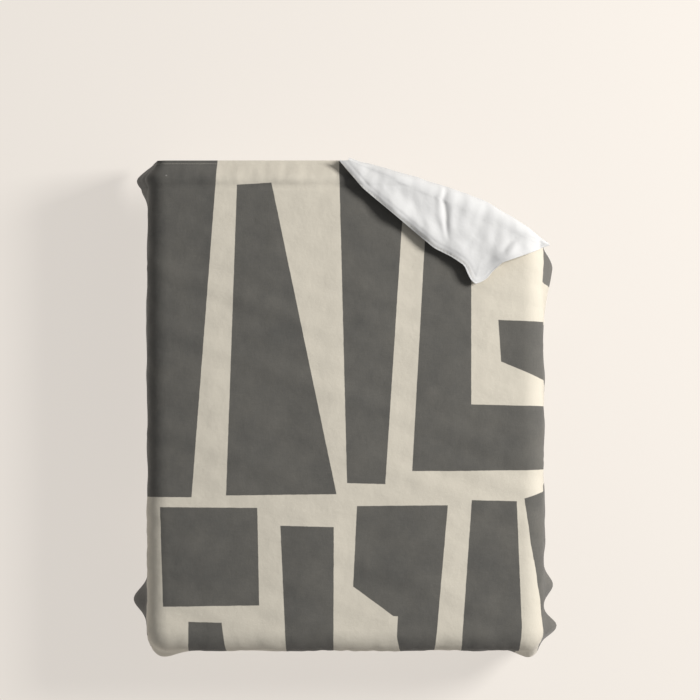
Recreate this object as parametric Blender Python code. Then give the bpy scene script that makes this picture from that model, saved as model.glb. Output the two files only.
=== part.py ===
"""A duvet as it lies on a made bed: zipped cover, box-sewn insert and one turned-back corner.

Frame: metres, +X across the bed to the right, +Y toward the head, +Z up.  The origin is the
middle of the flat underside that rests on the mattress.  Every layer is laid out on the flat
cloth first (s across, t toward the head) and then carried onto the draped shape.
"""

import math

import bmesh
import bpy
import numpy as np

# Overall sizes of the cover, cut flat.
COVER_WIDTH = 2.0
COVER_LENGTH = 2.0
# The bed under it, and how much of the cover hangs past the foot of the flat top.
TOP_WIDTH = 1.33
FOOT_DROP = 0.248
EDGE_RADIUS = 0.035
DRAPE_ANGLE = math.radians(87.0)

# Layers, from the mattress up.
COVER_CLOTH = 0.001
SHELL_CLOTH = 0.0008
FILL_LOFT = 0.0335
FILL_EDGE = 0.002
LAYER_GAP = 0.0003

# Hems: how far the insert stays inside the cover, and how far in the loft reaches its full height.
INSERT_INSET = 0.018
LOFT_RUN_IN = 0.072
SEAM_WIDTH = 0.013
SEAM_THICKNESS = 0.0015
ZIP_HEM_OPENING = 0.0086

# Zip in the foot hem.
ZIP_LENGTH = 1.04
TAPE_WIDTH = 0.013
TAPE_CLOTH = 0.0006
COIL_RADIUS = 0.00115
COIL_FROM_HEM = 0.0026
STOP_LENGTH = 0.003
SLIDER_LENGTH = 0.009
SLIDER_WALL = 0.0009
SLIDER_SIDE = 0.0005
SLIDER_FROM_END = 0.002
PULL_LENGTH = 0.024
PULL_WIDTH = 0.0065
PULL_THICKNESS = 0.0012
PULL_EYE = 0.0011

# Turned-back corner: where its fold leaves the head hem, and the fold's angle to the hem.
FOLD_START = 0.01
FOLD_ANGLE = math.radians(22.75)
CORNER_HEM = 0.655
FOLD_CLEARANCE = 0.0015
FOLD_EDGE_EASE = 0.012
FOLD_EASE_RUN_IN = 0.02
FOLD_EASE_LENGTH = 0.05
CORNER_REST_GAP = 0.003
CORNER_OVERHANG = 0.085
CORNER_HEM_BOW = 0.013
CORNER_SIDE_BOW = 0.014

# Corner ties inside the cover.
TIE_FROM_HEM = 0.0006
TIE_REACH = 0.0095
TIE_WIDTH = 0.005
TIE_MIDDLE = 0.006
LOOP_REACH = 0.010
LOOP_WIDTH = 0.003
TIE_CLOTH = 0.0006

# Blank care label in the left side seam.
LABEL_WIDTH = 0.03
LABEL_LENGTH = 0.045
LABEL_FROM_FOOT = 0.42

HALF_WIDTH = COVER_WIDTH / 2.0
HALF_TOP = TOP_WIDTH / 2.0
TOP_LENGTH = COVER_LENGTH - FOOT_DROP
HEAD_T = TOP_LENGTH / 2.0
FOOT_EDGE_T = -TOP_LENGTH / 2.0
FOOT_T = FOOT_EDGE_T - FOOT_DROP
BEND_RUN = EDGE_RADIUS * DRAPE_ANGLE

INNER_LOW = COVER_CLOTH + LAYER_GAP
FILL_LOW = INNER_LOW + SHELL_CLOTH + LAYER_GAP
FULL_THICKNESS = FILL_LOW + FILL_LOFT + 2.0 * LAYER_GAP + SHELL_CLOTH + COVER_CLOTH

# Waves of the hanging cloth: (place along the hem from the corner, height, half length).
# Places are positive up the side toward the head and negative along the foot.
LEFT_WAVES = ((0.185, 0.052, 0.055), (-0.06, 0.040, 0.060), (1.765, 0.030, 0.060))
RIGHT_WAVES = ((0.240, 0.036, 0.045), (0.085, 0.050, 0.040), (-0.06, 0.038, 0.055),
               (1.48, 0.036, 0.140))
CORNER_ARC = 0.10

CREAM = (0.77, 0.73, 0.65)
WHITE_COTTON = (0.86, 0.85, 0.83)


def clear_scene():
    """Remove whatever the file opened with."""
    for thing in list(bpy.data.objects):
        bpy.data.objects.remove(thing, do_unlink=True)


def finish(name, colour, roughness, metallic=0.0):
    """One plain material."""
    material = bpy.data.materials.new(name)
    material.use_nodes = True
    shader = material.node_tree.nodes["Principled BSDF"]
    shader.inputs["Base Color"].default_value = (*colour, 1.0)
    shader.inputs["Roughness"].default_value = roughness
    shader.inputs["Metallic"].default_value = metallic
    return material


def smooth_step(x):
    """0 below 0, 1 above 1, and a smooth rise between."""
    x = np.clip(x, 0.0, 1.0)
    return x * x * (3.0 - 2.0 * x)


def hem_waves(place, waves):
    """Sum of rounded bumps along the hem."""
    total = np.zeros_like(place)
    for centre, height, half_length in waves:
        total += height * np.exp(-((place - centre) / half_length) ** 2)
    return total


def drape(s, t, n):
    """Flat cloth (s, t) at height n through the layers, as points of the draped shape.

    Cloth past the edge of the top turns down round EDGE_RADIUS and hangs; past both edges it
    wraps the corner on polar lines, and the spare cloth there stands out in waves.
    """
    beyond_side = np.maximum(np.abs(s) - HALF_TOP, 0.0)
    beyond_foot = np.maximum(FOOT_EDGE_T - t, 0.0)
    down = np.hypot(beyond_side, beyond_foot)
    turn = np.arctan2(beyond_foot, np.maximum(beyond_side, 1e-12))
    turn = np.where(down > 0.0, turn, 0.0)
    side = np.sign(s)
    angle = np.minimum(down / EDGE_RADIUS, DRAPE_ANGLE)
    hang = np.maximum(down - BEND_RUN, 0.0)
    out = EDGE_RADIUS * np.sin(angle) + hang * math.cos(DRAPE_ANGLE)
    drop = EDGE_RADIUS * (1.0 - np.cos(angle)) + hang * math.sin(DRAPE_ANGLE)

    along_side = CORNER_ARC * math.pi / 4.0 + (t - FOOT_EDGE_T)
    along_foot = -CORNER_ARC * math.pi / 4.0 - (HALF_TOP - np.abs(s))
    around = CORNER_ARC * (math.pi / 4.0 - turn)
    place = np.where(beyond_foot <= 0.0, along_side, np.where(beyond_side <= 0.0, along_foot, around))
    wave = np.where(side < 0.0, hem_waves(place, LEFT_WAVES), hem_waves(place, RIGHT_WAVES))
    depth_share = smooth_step(hang / (FOOT_DROP * 0.85))
    out = out + wave * depth_share

    flat_x = side * np.minimum(np.abs(s), HALF_TOP)
    flat_y = np.maximum(t, FOOT_EDGE_T)
    radial = out + n * np.sin(angle)
    x = flat_x + side * np.cos(turn) * radial
    y = flat_y - np.sin(turn) * radial
    z = n * np.cos(angle) - drop
    return np.stack([x, y, z], axis=-1)


def hem_distance(s, t):
    """Distance on the flat cloth to the nearest hem."""
    return np.minimum(np.minimum(HALF_WIDTH - np.abs(s), t - FOOT_T), HEAD_T - t)


def zip_share(s, t):
    """1 over the zip in the foot hem, falling to 0 at its ends and 60 mm up the cloth."""
    ends = smooth_step((ZIP_LENGTH / 2.0 + 0.06 - np.abs(s)) / 0.04)
    return ends * smooth_step((FOOT_T + 0.06 - t) / 0.03)


def fill_height(s, t):
    """Loft of the fill: thin at the insert's edge and full LOFT_RUN_IN inside it."""
    run = np.clip((hem_distance(s, t) - INSERT_INSET) / LOFT_RUN_IN, 0.0, 1.0)
    rise = 1.0 - (1.0 - run) ** 2
    return FILL_EDGE + (FILL_LOFT - FILL_EDGE) * rise


def fill_top(s, t):
    """Height of the fill's upper face, with room over the zip where the hem is open."""
    closed = FILL_LOW + fill_height(s, t)
    over_zip = INNER_LOW + ZIP_HEM_OPENING - SHELL_CLOTH - 2.0 * LAYER_GAP
    return np.maximum(closed, over_zip * zip_share(s, t))


def face_low(s, t):
    """Underside of the printed cover panel."""
    over_insert = fill_top(s, t) + 2.0 * LAYER_GAP + SHELL_CLOTH
    at_seam = INNER_LOW + SEAM_THICKNESS + LAYER_GAP
    at_zip = INNER_LOW + ZIP_HEM_OPENING
    hem = at_seam + (at_zip - at_seam) * zip_share(s, t)
    inside = smooth_step(hem_distance(s, t) / (INSERT_INSET * 0.8))
    return hem + (over_insert - hem) * inside


def steady(height):
    """A height that is the same all over."""
    return lambda s, t: np.full_like(s, height)


def raised(height, extra):
    """A height function lifted by a fixed amount."""
    return lambda s, t: height(s, t) + extra


def steps_from_hem(shift=0.0):
    """Rows beside a hem, as distances from it; the shift narrows the band for the binding."""
    full_loft = INSERT_INSET + LOFT_RUN_IN
    return [0.0, SEAM_WIDTH + shift, INSERT_INSET - shift, INSERT_INSET + 0.4 * LOFT_RUN_IN, full_loft]


def side_columns(edge=0.0, shift=0.0):
    """Columns of one hanging side, as |s| from an edge inside the hem to the edge of the top."""
    hem = [HALF_WIDTH - step for step in steps_from_hem(shift) if step >= edge]
    bend_end = HALF_TOP + BEND_RUN
    hem = [column for column in hem if column > bend_end + 0.01]
    return hem + [(hem[-1] + bend_end) / 2.0, bend_end, HALF_TOP + 0.5 * BEND_RUN, HALF_TOP]


def top_columns():
    """Columns across the flat top, between its two edges."""
    zip_end = ZIP_LENGTH / 2.0
    wanted = [-zip_end - 0.06, -zip_end, FOLD_START, FOLD_START + 0.09, FOLD_START + 0.18,
              zip_end, zip_end + 0.06]
    return [column for column in wanted if abs(column) < HALF_TOP - 0.01]


def foot_rows(edge=0.0, shift=0.0):
    """Rows of the hanging foot, from an edge inside its hem up to the foot edge of the top."""
    hem = [FOOT_T + step for step in steps_from_hem(shift) if step >= edge]
    bend_end = FOOT_EDGE_T - BEND_RUN
    hem = [row for row in hem if row < bend_end - 0.01]
    return hem + [(hem[-1] + bend_end) / 2.0, bend_end, FOOT_EDGE_T - 0.5 * BEND_RUN, FOOT_EDGE_T]


def shear_start():
    """Row above which the rows run toward the turned-back corner's fold."""
    return head_limit(HALF_WIDTH) - 0.11


def side_rows():
    """Rows beside the flat top, from above the foot edge to where the shear starts."""
    close = [FOOT_EDGE_T + step for step in (0.055, 0.11, 0.165, 0.22, 0.30)]
    spread = np.linspace(FOOT_EDGE_T + 0.30, shear_start(), 4)[1:]
    return close + [float(row) for row in spread]


def head_shares(edge=0.0, shift=0.0):
    """Rows from the shear to an edge inside the head hem, as shares of that run."""
    run = HEAD_T - shear_start()
    steps = [step for step in reversed(steps_from_hem(shift)) if step >= edge]
    return [0.4] + [1.0 - step / run for step in steps]


def head_limit(s):
    """Head end of the lying cloth: the hem, or the turned-back corner's fold."""
    fold = HEAD_T - (s - FOLD_START) * math.tan(FOLD_ANGLE) - FOLD_CLEARANCE / math.cos(FOLD_ANGLE)
    over_edge = np.clip((s - HALF_TOP + FOLD_EASE_RUN_IN) / FOLD_EASE_LENGTH, 0.0, 1.0)
    return np.minimum(HEAD_T, fold - FOLD_EDGE_EASE * over_edge)


def sheared_grid(columns, rows, shares):
    """Flat coordinates of a grid whose last rows follow the head hem and the fold."""
    columns = np.array(columns)
    low = np.repeat(np.array(rows)[None, :], len(columns), axis=0)
    start = rows[-1]
    limit = head_limit(columns)[:, None]
    high = start + (limit - start) * np.array(shares)[None, :]
    t = np.concatenate([low, high], axis=1)
    s = np.repeat(columns[:, None], t.shape[1], axis=1)
    return s, t


def cloth_grid(edge=0.0, shift=0.0):
    """Grid of the whole lying cloth, from an edge this far inside its hems."""
    side = side_columns(edge, shift)
    columns = [-column for column in side] + top_columns() + list(reversed(side))
    rows = foot_rows(edge, shift) + side_rows()
    return sheared_grid(columns, rows, head_shares(edge, shift))


def closed_sheet(name, material, low_points, high_points, keep=None):
    """A closed solid between two point grids, over the kept cells."""
    count_i, count_j = low_points.shape[:2]
    if keep is None:
        keep = np.ones((count_i - 1, count_j - 1), dtype=bool)
    mesh_data = bmesh.new()
    corners = {}

    def corner(level, i, j):
        key = (level, i, j)
        if key not in corners:
            points = high_points if level else low_points
            corners[key] = mesh_data.verts.new(points[i, j])
        return corners[key]

    def kept(i, j):
        return 0 <= i < count_i - 1 and 0 <= j < count_j - 1 and keep[i, j]

    def wall(start, end):
        near, far = sorted((start, end))
        mesh_data.faces.new([corner(0, *near), corner(0, *far), corner(1, *far)])
        mesh_data.faces.new([corner(0, *near), corner(1, *far), corner(1, *near)])

    for i, j in np.argwhere(keep).tolist():
        ring = [(i, j), (i + 1, j), (i + 1, j + 1), (i, j + 1)]
        for half in ((0, 1, 2), (0, 2, 3)):
            mesh_data.faces.new([corner(1, *ring[k]) for k in half])
            mesh_data.faces.new([corner(0, *ring[k]) for k in reversed(half)])
        for start, end, beside in ((0, 1, (i, j - 1)), (1, 2, (i + 1, j)), (2, 3, (i, j + 1)),
                                   (3, 0, (i - 1, j))):
            if not kept(*beside):
                wall(ring[start], ring[end])
    bmesh.ops.recalc_face_normals(mesh_data, faces=mesh_data.faces)
    return add_object(name, material, mesh_data)


def add_object(name, material, mesh_data, smooth=True):
    """Turn mesh data into a named object with its material."""
    mesh = bpy.data.meshes.new(name)
    mesh_data.to_mesh(mesh)
    mesh_data.free()
    mesh.materials.append(material)
    if smooth:
        mesh.shade_smooth()
        mesh.set_sharp_from_angle(angle=math.radians(40.0))
    thing = bpy.data.objects.new(name, mesh)
    bpy.context.collection.objects.link(thing)
    return thing


def layer(name, material, grid, low, high, keep=None):
    """A layer of the lying cloth between two height functions."""
    s, t = grid
    return closed_sheet(name, material, drape(s, t, low(s, t)), drape(s, t, high(s, t)), keep)


def cell_middles(grid):
    """Flat coordinates of the middle of each cell."""
    s, t = grid
    return tuple((v[:-1, :-1] + v[1:, :-1] + v[:-1, 1:] + v[1:, 1:]) / 4.0 for v in (s, t))


def build_cover(materials):
    """The two cover panels and the seams that join them at the hems."""
    grid = cloth_grid()
    back_low = steady(0.0)
    back_high = steady(COVER_CLOTH)
    layer("cover_back_panel", materials["white"], grid, back_low, back_high)
    layer("cover_face_panel", materials["print"], grid, face_low, raised(face_low, COVER_CLOTH))

    seam_low = steady(INNER_LOW)
    seam_high = steady(INNER_LOW + SEAM_THICKNESS)
    s, t = cell_middles(grid)
    from_side = HALF_WIDTH - np.abs(s)
    from_foot = t - FOOT_T
    from_head = HEAD_T - t
    side_band = (from_side < SEAM_WIDTH) & (from_foot > INSERT_INSET)
    head_band = (from_head < SEAM_WIDTH) & (from_side > INSERT_INSET) & (s < FOLD_START)
    past_zip = np.abs(s) > ZIP_LENGTH / 2.0 + 0.06
    foot_band = (from_foot < SEAM_WIDTH) & (from_side > INSERT_INSET) & past_zip
    seams = {
        "cover_seam_left": side_band & (s < 0.0) & (from_head > SEAM_WIDTH),
        "cover_seam_right": side_band & (s > 0.0),
        "cover_seam_head": head_band,
        "cover_seam_foot_left": foot_band & (s < 0.0),
        "cover_seam_foot_right": foot_band & (s > 0.0),
    }
    for name, cells in seams.items():
        layer(name, materials["white"], grid, seam_low, seam_high, cells)


def build_insert(materials):
    """The insert: two shells, the piping that closes them, and the fill."""
    grid = cloth_grid(INSERT_INSET)
    shell = materials["shell"]
    layer("insert_back_shell", shell, grid, steady(INNER_LOW), steady(INNER_LOW + SHELL_CLOTH))
    face_shell_low = raised(fill_top, LAYER_GAP)
    layer("insert_face_shell", shell, grid, face_shell_low, raised(face_shell_low, SHELL_CLOTH))

    bound = cloth_grid(SEAM_WIDTH, LAYER_GAP)
    s, t = cell_middles(bound)
    at_hem = np.minimum(HALF_WIDTH - np.abs(s), t - FOOT_T) < INSERT_INSET
    at_head = (HEAD_T - t < INSERT_INSET) & (s < FOLD_START)
    layer("insert_edge_binding", materials["white"], bound, steady(INNER_LOW),
          steady(INNER_LOW + SEAM_THICKNESS), at_hem | at_head)
    build_fill(materials["fill"])


def build_fill(material):
    """The fill, in the blocks that the insert's sewn boxes make of it."""
    half_gap = LAYER_GAP / 2.0
    side = side_columns(INSERT_INSET)
    side[-1] = HALF_TOP + half_gap
    left = [-column for column in side]
    right = list(reversed(side))
    top = [-HALF_TOP + half_gap] + top_columns() + [HALF_TOP - half_gap]
    foot = foot_rows(INSERT_INSET)
    foot[-1] = FOOT_EDGE_T - half_gap
    rows = [FOOT_EDGE_T + half_gap] + side_rows()
    shares = head_shares(INSERT_INSET)

    def block(name, columns, row_list, share_list):
        if share_list:
            grid = sheared_grid(columns, row_list, share_list)
        else:
            s = np.repeat(np.array(columns)[:, None], len(row_list), axis=1)
            t = np.repeat(np.array(row_list)[None, :], len(columns), axis=0)
            grid = (s, t)
        layer(name, material, grid, steady(FILL_LOW), fill_top)

    block("fill_top", top, rows, shares)
    block("fill_left_drop", left, rows, shares)
    block("fill_right_drop", right, rows, shares)
    block("fill_foot_drop", top, foot, [])
    block("fill_left_corner", left, foot, [])
    block("fill_right_corner", right, foot, [])


def patch_grid(s_lines, t_lines):
    """A small rectangular grid on the flat cloth."""
    s = np.repeat(np.array(s_lines)[:, None], len(t_lines), axis=1)
    t = np.repeat(np.array(t_lines)[None, :], len(s_lines), axis=0)
    return s, t


def build_ties(materials):
    """A ribbon tie and an insert loop in three corners of the cover, and the care label."""
    places = (("foot_left", -1.0, FOOT_T, 1.0), ("foot_right", 1.0, FOOT_T, 1.0),
              ("head_left", -1.0, HEAD_T, -1.0))
    ribbons = (("tie", TIE_WIDTH, TIE_FROM_HEM, TIE_FROM_HEM + TIE_REACH, 0.0),
               ("loop", LOOP_WIDTH, SEAM_WIDTH - LOOP_REACH, SEAM_WIDTH, TIE_CLOTH + LAYER_GAP))
    for name, side, hem_t, inward in places:
        for piece, width, start, end, lift in ribbons:
            middle = side * (HALF_WIDTH - TIE_MIDDLE)
            s_lines = [middle - width / 2.0, middle + width / 2.0]
            t_lines = sorted([hem_t + inward * start, hem_t + inward * end])
            grid = patch_grid(s_lines, t_lines)
            low = steady(INNER_LOW + lift)
            high = steady(INNER_LOW + lift + TIE_CLOTH)
            layer(f"{piece}_{name}", materials["tape"], grid, low, high)
    build_label(materials["tape"])


def build_label(material):
    """A blank label that hangs below the left hem, caught between the panels there."""
    start = FOOT_T + LABEL_FROM_FOOT
    rows = [start, start + LABEL_WIDTH]
    edge = HALF_WIDTH - 0.0002
    grid = patch_grid([-edge - LABEL_LENGTH, -edge - LABEL_LENGTH / 2.0, -edge], rows)
    layer("care_label", material, grid, steady(INNER_LOW), steady(INNER_LOW + TIE_CLOTH))


def foot_point(x, from_hem, n):
    """A point at the foot hem: x along it, a distance up from it, and a height through layers."""
    return drape(np.array(x), np.array(FOOT_T + from_hem), np.array(n))


def hem_box(name, material, x_range, up_range, n_range, bevel=0.0):
    """A block at the foot hem, square to the hanging cloth."""
    mesh_data = bmesh.new()
    corners = []
    for n in n_range:
        for x, up in ((x_range[0], up_range[0]), (x_range[1], up_range[0]),
                      (x_range[1], up_range[1]), (x_range[0], up_range[1])):
            corners.append(mesh_data.verts.new(foot_point(x, up, n)))
    for face in ((0, 1, 2, 3), (4, 5, 6, 7), (0, 1, 5, 4), (1, 2, 6, 5), (2, 3, 7, 6), (3, 0, 4, 7)):
        mesh_data.faces.new([corners[k] for k in face])
    bmesh.ops.recalc_face_normals(mesh_data, faces=mesh_data.faces)
    if bevel:
        bmesh.ops.bevel(mesh_data, geom=mesh_data.edges[:], offset=bevel, segments=2,
                        affect="EDGES", profile=0.5)
    return add_object(name, material, mesh_data)


def hem_rod(name, material, half_length, up, n, radius, sides=8):
    """A round bar along the foot hem."""
    mesh_data = bmesh.new()
    rings = []
    for x in (-half_length, half_length):
        ring = []
        for k in range(sides):
            angle = 2.0 * math.pi * k / sides
            point = foot_point(x, up + radius * math.sin(angle), n + radius * math.cos(angle))
            ring.append(mesh_data.verts.new(point))
        rings.append(ring)
        mesh_data.faces.new(ring)
    for k in range(sides):
        after = (k + 1) % sides
        mesh_data.faces.new([rings[0][k], rings[0][after], rings[1][after], rings[1][k]])
    bmesh.ops.recalc_face_normals(mesh_data, faces=mesh_data.faces)
    return add_object(name, material, mesh_data)


def coil_middles():
    """Heights of the two coil centres through the open hem, side by side with a small gap."""
    middle = INNER_LOW + ZIP_HEM_OPENING / 2.0 - LAYER_GAP / 2.0
    reach = COIL_RADIUS + LAYER_GAP / 2.0
    return middle - reach, middle + reach


def build_zip(materials):
    """The closed zip: two tapes, two coils, end stops, slider and pull."""
    half = ZIP_LENGTH / 2.0
    tape_rows = (0.0006, TAPE_WIDTH)
    back_tape = (INNER_LOW, INNER_LOW + TAPE_CLOTH)
    face_top = INNER_LOW + ZIP_HEM_OPENING - LAYER_GAP
    face_tape = (face_top - TAPE_CLOTH, face_top)
    hem_box("zip_tape_back", materials["tape"], (-half, half), tape_rows, back_tape)
    hem_box("zip_tape_face", materials["tape"], (-half, half), tape_rows, face_tape)
    back_coil, face_coil = coil_middles()
    coil_half = half - STOP_LENGTH - 0.001
    hem_rod("zip_coil_back", materials["zip"], coil_half, COIL_FROM_HEM, back_coil, COIL_RADIUS)
    hem_rod("zip_coil_face", materials["zip"], coil_half, COIL_FROM_HEM, face_coil, COIL_RADIUS)
    span = (back_coil - COIL_RADIUS, face_coil + COIL_RADIUS)
    rise = (COIL_FROM_HEM - COIL_RADIUS, COIL_FROM_HEM + COIL_RADIUS)
    for side, name in ((-1.0, "zip_stop_left"), (1.0, "zip_stop_right")):
        ends = sorted((side * (coil_half + LAYER_GAP), side * (coil_half + LAYER_GAP + STOP_LENGTH)))
        hem_box(name, materials["metal"], ends, rise, span, bevel=0.0003)
    build_slider(materials["metal"], span, rise, coil_half)


def build_slider(metal, span, rise, coil_half):
    """The slider: a short square tube round both coils; its pull hangs from under it."""
    inner = [(span[0] - LAYER_GAP, rise[0] - LAYER_GAP), (span[1] + LAYER_GAP, rise[0] - LAYER_GAP),
             (span[1] + LAYER_GAP, rise[1] + LAYER_GAP), (span[0] - LAYER_GAP, rise[1] + LAYER_GAP)]
    middle_n = (span[0] + span[1]) / 2.0
    middle_up = (rise[0] + rise[1]) / 2.0
    outer = [(n + math.copysign(SLIDER_SIDE, n - middle_n), up + math.copysign(SLIDER_WALL, up - middle_up))
             for n, up in inner]
    end = coil_half - SLIDER_FROM_END
    mesh_data = bmesh.new()
    rings = {}
    for x in (end - SLIDER_LENGTH, end):
        for profile, points in (("inner", inner), ("outer", outer)):
            rings[profile, x] = [mesh_data.verts.new(foot_point(x, up, n)) for n, up in points]
    near, far = end - SLIDER_LENGTH, end
    for k in range(len(inner)):
        after = (k + 1) % len(inner)
        for first, second in ((("inner", near), ("inner", far)), (("outer", near), ("outer", far)),
                              (("inner", near), ("outer", near)), (("inner", far), ("outer", far))):
            mesh_data.faces.new([rings[first][k], rings[first][after], rings[second][after],
                                 rings[second][k]])
    bmesh.ops.recalc_face_normals(mesh_data, faces=mesh_data.faces)
    add_object("zip_slider", metal, mesh_data)
    under = rise[0] - LAYER_GAP - SLIDER_WALL
    build_pull(metal, end - SLIDER_LENGTH / 2.0, under, middle_n)


def build_pull(metal, x_middle, wing_up, n_middle):
    """The pull: a rounded tab that hangs straight down, swinging along the zip about its pin."""
    pivot_up = wing_up - LAYER_GAP - PULL_EYE
    pivot = foot_point(x_middle, pivot_up, n_middle)
    mesh_data = bmesh.new()
    half = PULL_WIDTH / 2.0
    outline = []
    for k in range(9):
        angle = math.pi * k / 8.0
        outline.append((PULL_EYE * math.cos(angle), PULL_EYE * math.sin(angle)))
    for k in range(9):
        angle = math.pi + math.pi * k / 8.0
        outline.append((half * math.cos(angle), -PULL_LENGTH + half + half * math.sin(angle)))
    rings = []
    for y in (-PULL_THICKNESS / 2.0, PULL_THICKNESS / 2.0):
        rings.append([mesh_data.verts.new((x, y, z)) for x, z in outline])
        mesh_data.faces.new(rings[-1])
    for k in range(len(outline)):
        after = (k + 1) % len(outline)
        mesh_data.faces.new([rings[0][k], rings[0][after], rings[1][after], rings[1][k]])
    bmesh.ops.recalc_face_normals(mesh_data, faces=mesh_data.faces)
    pull = add_object("zip_pull", metal, mesh_data)
    pull.location = pivot


def corner_outline():
    """Fold end, hem tip and fold start of the turned-back corner, on the lying plane."""
    start = np.array([FOLD_START, HEAD_T])
    along = np.array([math.cos(FOLD_ANGLE), -math.sin(FOLD_ANGLE)])
    turned = np.array([math.cos(2.0 * FOLD_ANGLE), -math.sin(2.0 * FOLD_ANGLE)])
    tip = start + CORNER_HEM * turned
    fold_end = start + along * (HALF_TOP + CORNER_OVERHANG - FOLD_START) / along[0]
    return start, fold_end, tip


def corner_grid():
    """Points of the turned-back corner seen from above, and the loft share at each.

    Columns run from the fold's start to its end; rows run from the fold to the hem.  The hem
    and the side edge bow a little, as a parabola across their length.
    """
    start, fold_end, tip = corner_outline()
    inward = np.array([-math.sin(FOLD_ANGLE), -math.cos(FOLD_ANGLE)])
    head_run = [0.03, 0.09, 0.15, 0.21, 0.28, 0.40, 0.55, 0.72, 0.84]
    last_run = [0.885, 0.925, 0.965, 1.0]
    p = np.array(head_run + last_run)[:, None, None]
    q = np.array([0.0, 0.1, 0.2, 0.32, 0.5, 0.7, 0.88, 1.0])[None, :, None]
    fold = start + (fold_end - start) * p + inward * FOLD_CLEARANCE
    hem_normal = np.array([-math.sin(2.0 * FOLD_ANGLE), -math.cos(2.0 * FOLD_ANGLE)])
    hem = start + (tip - start) * p + hem_normal * CORNER_HEM_BOW * 4.0 * p * (1.0 - p)
    side_normal = np.array([tip[1] - fold_end[1], fold_end[0] - tip[0]])
    side_normal = side_normal / np.linalg.norm(side_normal)
    points = fold + (hem - fold) * q
    points = points + side_normal * CORNER_SIDE_BOW * 4.0 * q * (1.0 - q) * p ** 6
    hem_run = np.linalg.norm(points - hem, axis=-1)
    side_end = points[-1:, :, :]
    side_run = np.linalg.norm(points - side_end, axis=-1)
    return points, np.minimum(hem_run, side_run)


def lying_top(x, y):
    """Height of the printed face under a point of the turned-back corner."""
    s = np.clip(x, -HALF_TOP, HALF_TOP)
    flat = face_low(s, y) + COVER_CLOTH
    outer = EDGE_RADIUS + FULL_THICKNESS
    past = np.clip(np.abs(x) - HALF_TOP, 0.0, 0.75 * outer)
    return flat - (outer - np.sqrt(outer ** 2 - past ** 2))


def build_corner(materials):
    """The turned-back corner: white side up, with its own layers of cover and insert."""
    points, edge_run = corner_grid()
    base = lying_top(points[..., 0], points[..., 1]) + CORNER_REST_GAP
    run = np.clip((edge_run - INSERT_INSET) / LOFT_RUN_IN, 0.0, 1.0)
    loft = FILL_EDGE + (FILL_LOFT - FILL_EDGE) * (1.0 - (1.0 - run) ** 2)
    heights = {"face": (0.0, COVER_CLOTH)}
    inner = COVER_CLOTH + LAYER_GAP
    heights["face_shell"] = (inner, inner + SHELL_CLOTH)
    fill_base = inner + SHELL_CLOTH + LAYER_GAP

    def sheet(name, material, low, high, rows=slice(None), columns=slice(None)):
        levels = []
        for height in (low, high):
            z = base + height
            levels.append(np.concatenate([points, z[..., None]], axis=-1)[columns, rows])
        closed_sheet(name, material, levels[0], levels[1])

    sheet("corner_face_panel", materials["print"], *heights["face"])
    sheet("corner_face_shell", materials["shell"], *heights["face_shell"],
          slice(None, -1), slice(None, -1))
    sheet("corner_fill", materials["fill"], fill_base, fill_base + loft, slice(None, -1),
          slice(None, -1))
    shell_low = fill_base + loft + LAYER_GAP
    sheet("corner_back_shell", materials["shell"], shell_low, shell_low + SHELL_CLOTH,
          slice(None, -1), slice(None, -1))
    panel_low = shell_low + SHELL_CLOTH + LAYER_GAP
    closed = inner + SEAM_THICKNESS + LAYER_GAP
    panel_low[-1, :] = closed
    panel_low[:, -1] = closed
    sheet("corner_back_panel", materials["white"], panel_low, panel_low + COVER_CLOTH)


def main():
    """Build every piece."""
    clear_scene()
    materials = {
        "print": finish("printed_cotton", CREAM, 0.85),
        "white": finish("white_cotton", WHITE_COTTON, 0.85),
        "shell": finish("insert_cotton", (0.80, 0.80, 0.79), 0.8),
        "fill": finish("polyester_fill", (0.90, 0.90, 0.90), 0.95),
        "tape": finish("woven_tape", (0.74, 0.72, 0.68), 0.8),
        "zip": finish("nylon_zip", (0.72, 0.70, 0.66), 0.5),
        "metal": finish("zip_metal", (0.62, 0.62, 0.60), 0.35, 1.0),
    }
    build_cover(materials)
    build_insert(materials)
    build_ties(materials)
    build_zip(materials)
    build_corner(materials)


main()
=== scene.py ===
"""Printed duvet lying on a bed with one head corner turned back: cloth, filling, hems and zip."""
from __future__ import annotations

import logging
import math
from dataclasses import dataclass, field
from enum import Enum
from typing import Callable, Sequence

import bpy
import numpy as np
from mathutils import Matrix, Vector


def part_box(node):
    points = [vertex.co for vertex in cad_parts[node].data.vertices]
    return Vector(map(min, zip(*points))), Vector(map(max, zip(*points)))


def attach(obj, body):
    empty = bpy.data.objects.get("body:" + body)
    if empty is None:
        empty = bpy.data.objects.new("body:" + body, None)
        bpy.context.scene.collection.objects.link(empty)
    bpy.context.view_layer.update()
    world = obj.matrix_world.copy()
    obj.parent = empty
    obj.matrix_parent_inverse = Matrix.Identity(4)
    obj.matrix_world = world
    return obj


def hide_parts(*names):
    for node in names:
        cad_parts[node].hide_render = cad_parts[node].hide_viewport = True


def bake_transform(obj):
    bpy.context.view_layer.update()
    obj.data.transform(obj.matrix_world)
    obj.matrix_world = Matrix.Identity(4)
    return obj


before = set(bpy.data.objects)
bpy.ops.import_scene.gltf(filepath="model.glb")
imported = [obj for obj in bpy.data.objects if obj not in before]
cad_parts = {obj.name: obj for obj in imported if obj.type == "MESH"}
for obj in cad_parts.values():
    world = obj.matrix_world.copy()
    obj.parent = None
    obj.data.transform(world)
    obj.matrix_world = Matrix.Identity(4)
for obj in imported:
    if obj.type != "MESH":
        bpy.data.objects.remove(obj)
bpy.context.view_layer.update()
LOG = logging.getLogger("duvet")
Array = np.ndarray
Piece = bpy.types.Object
Socket = bpy.types.NodeSocket
Triple = tuple[float, float, float]
Colour = Triple
Outline = tuple[tuple[float, float], ...]
Waves = tuple[Triple, ...]

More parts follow.
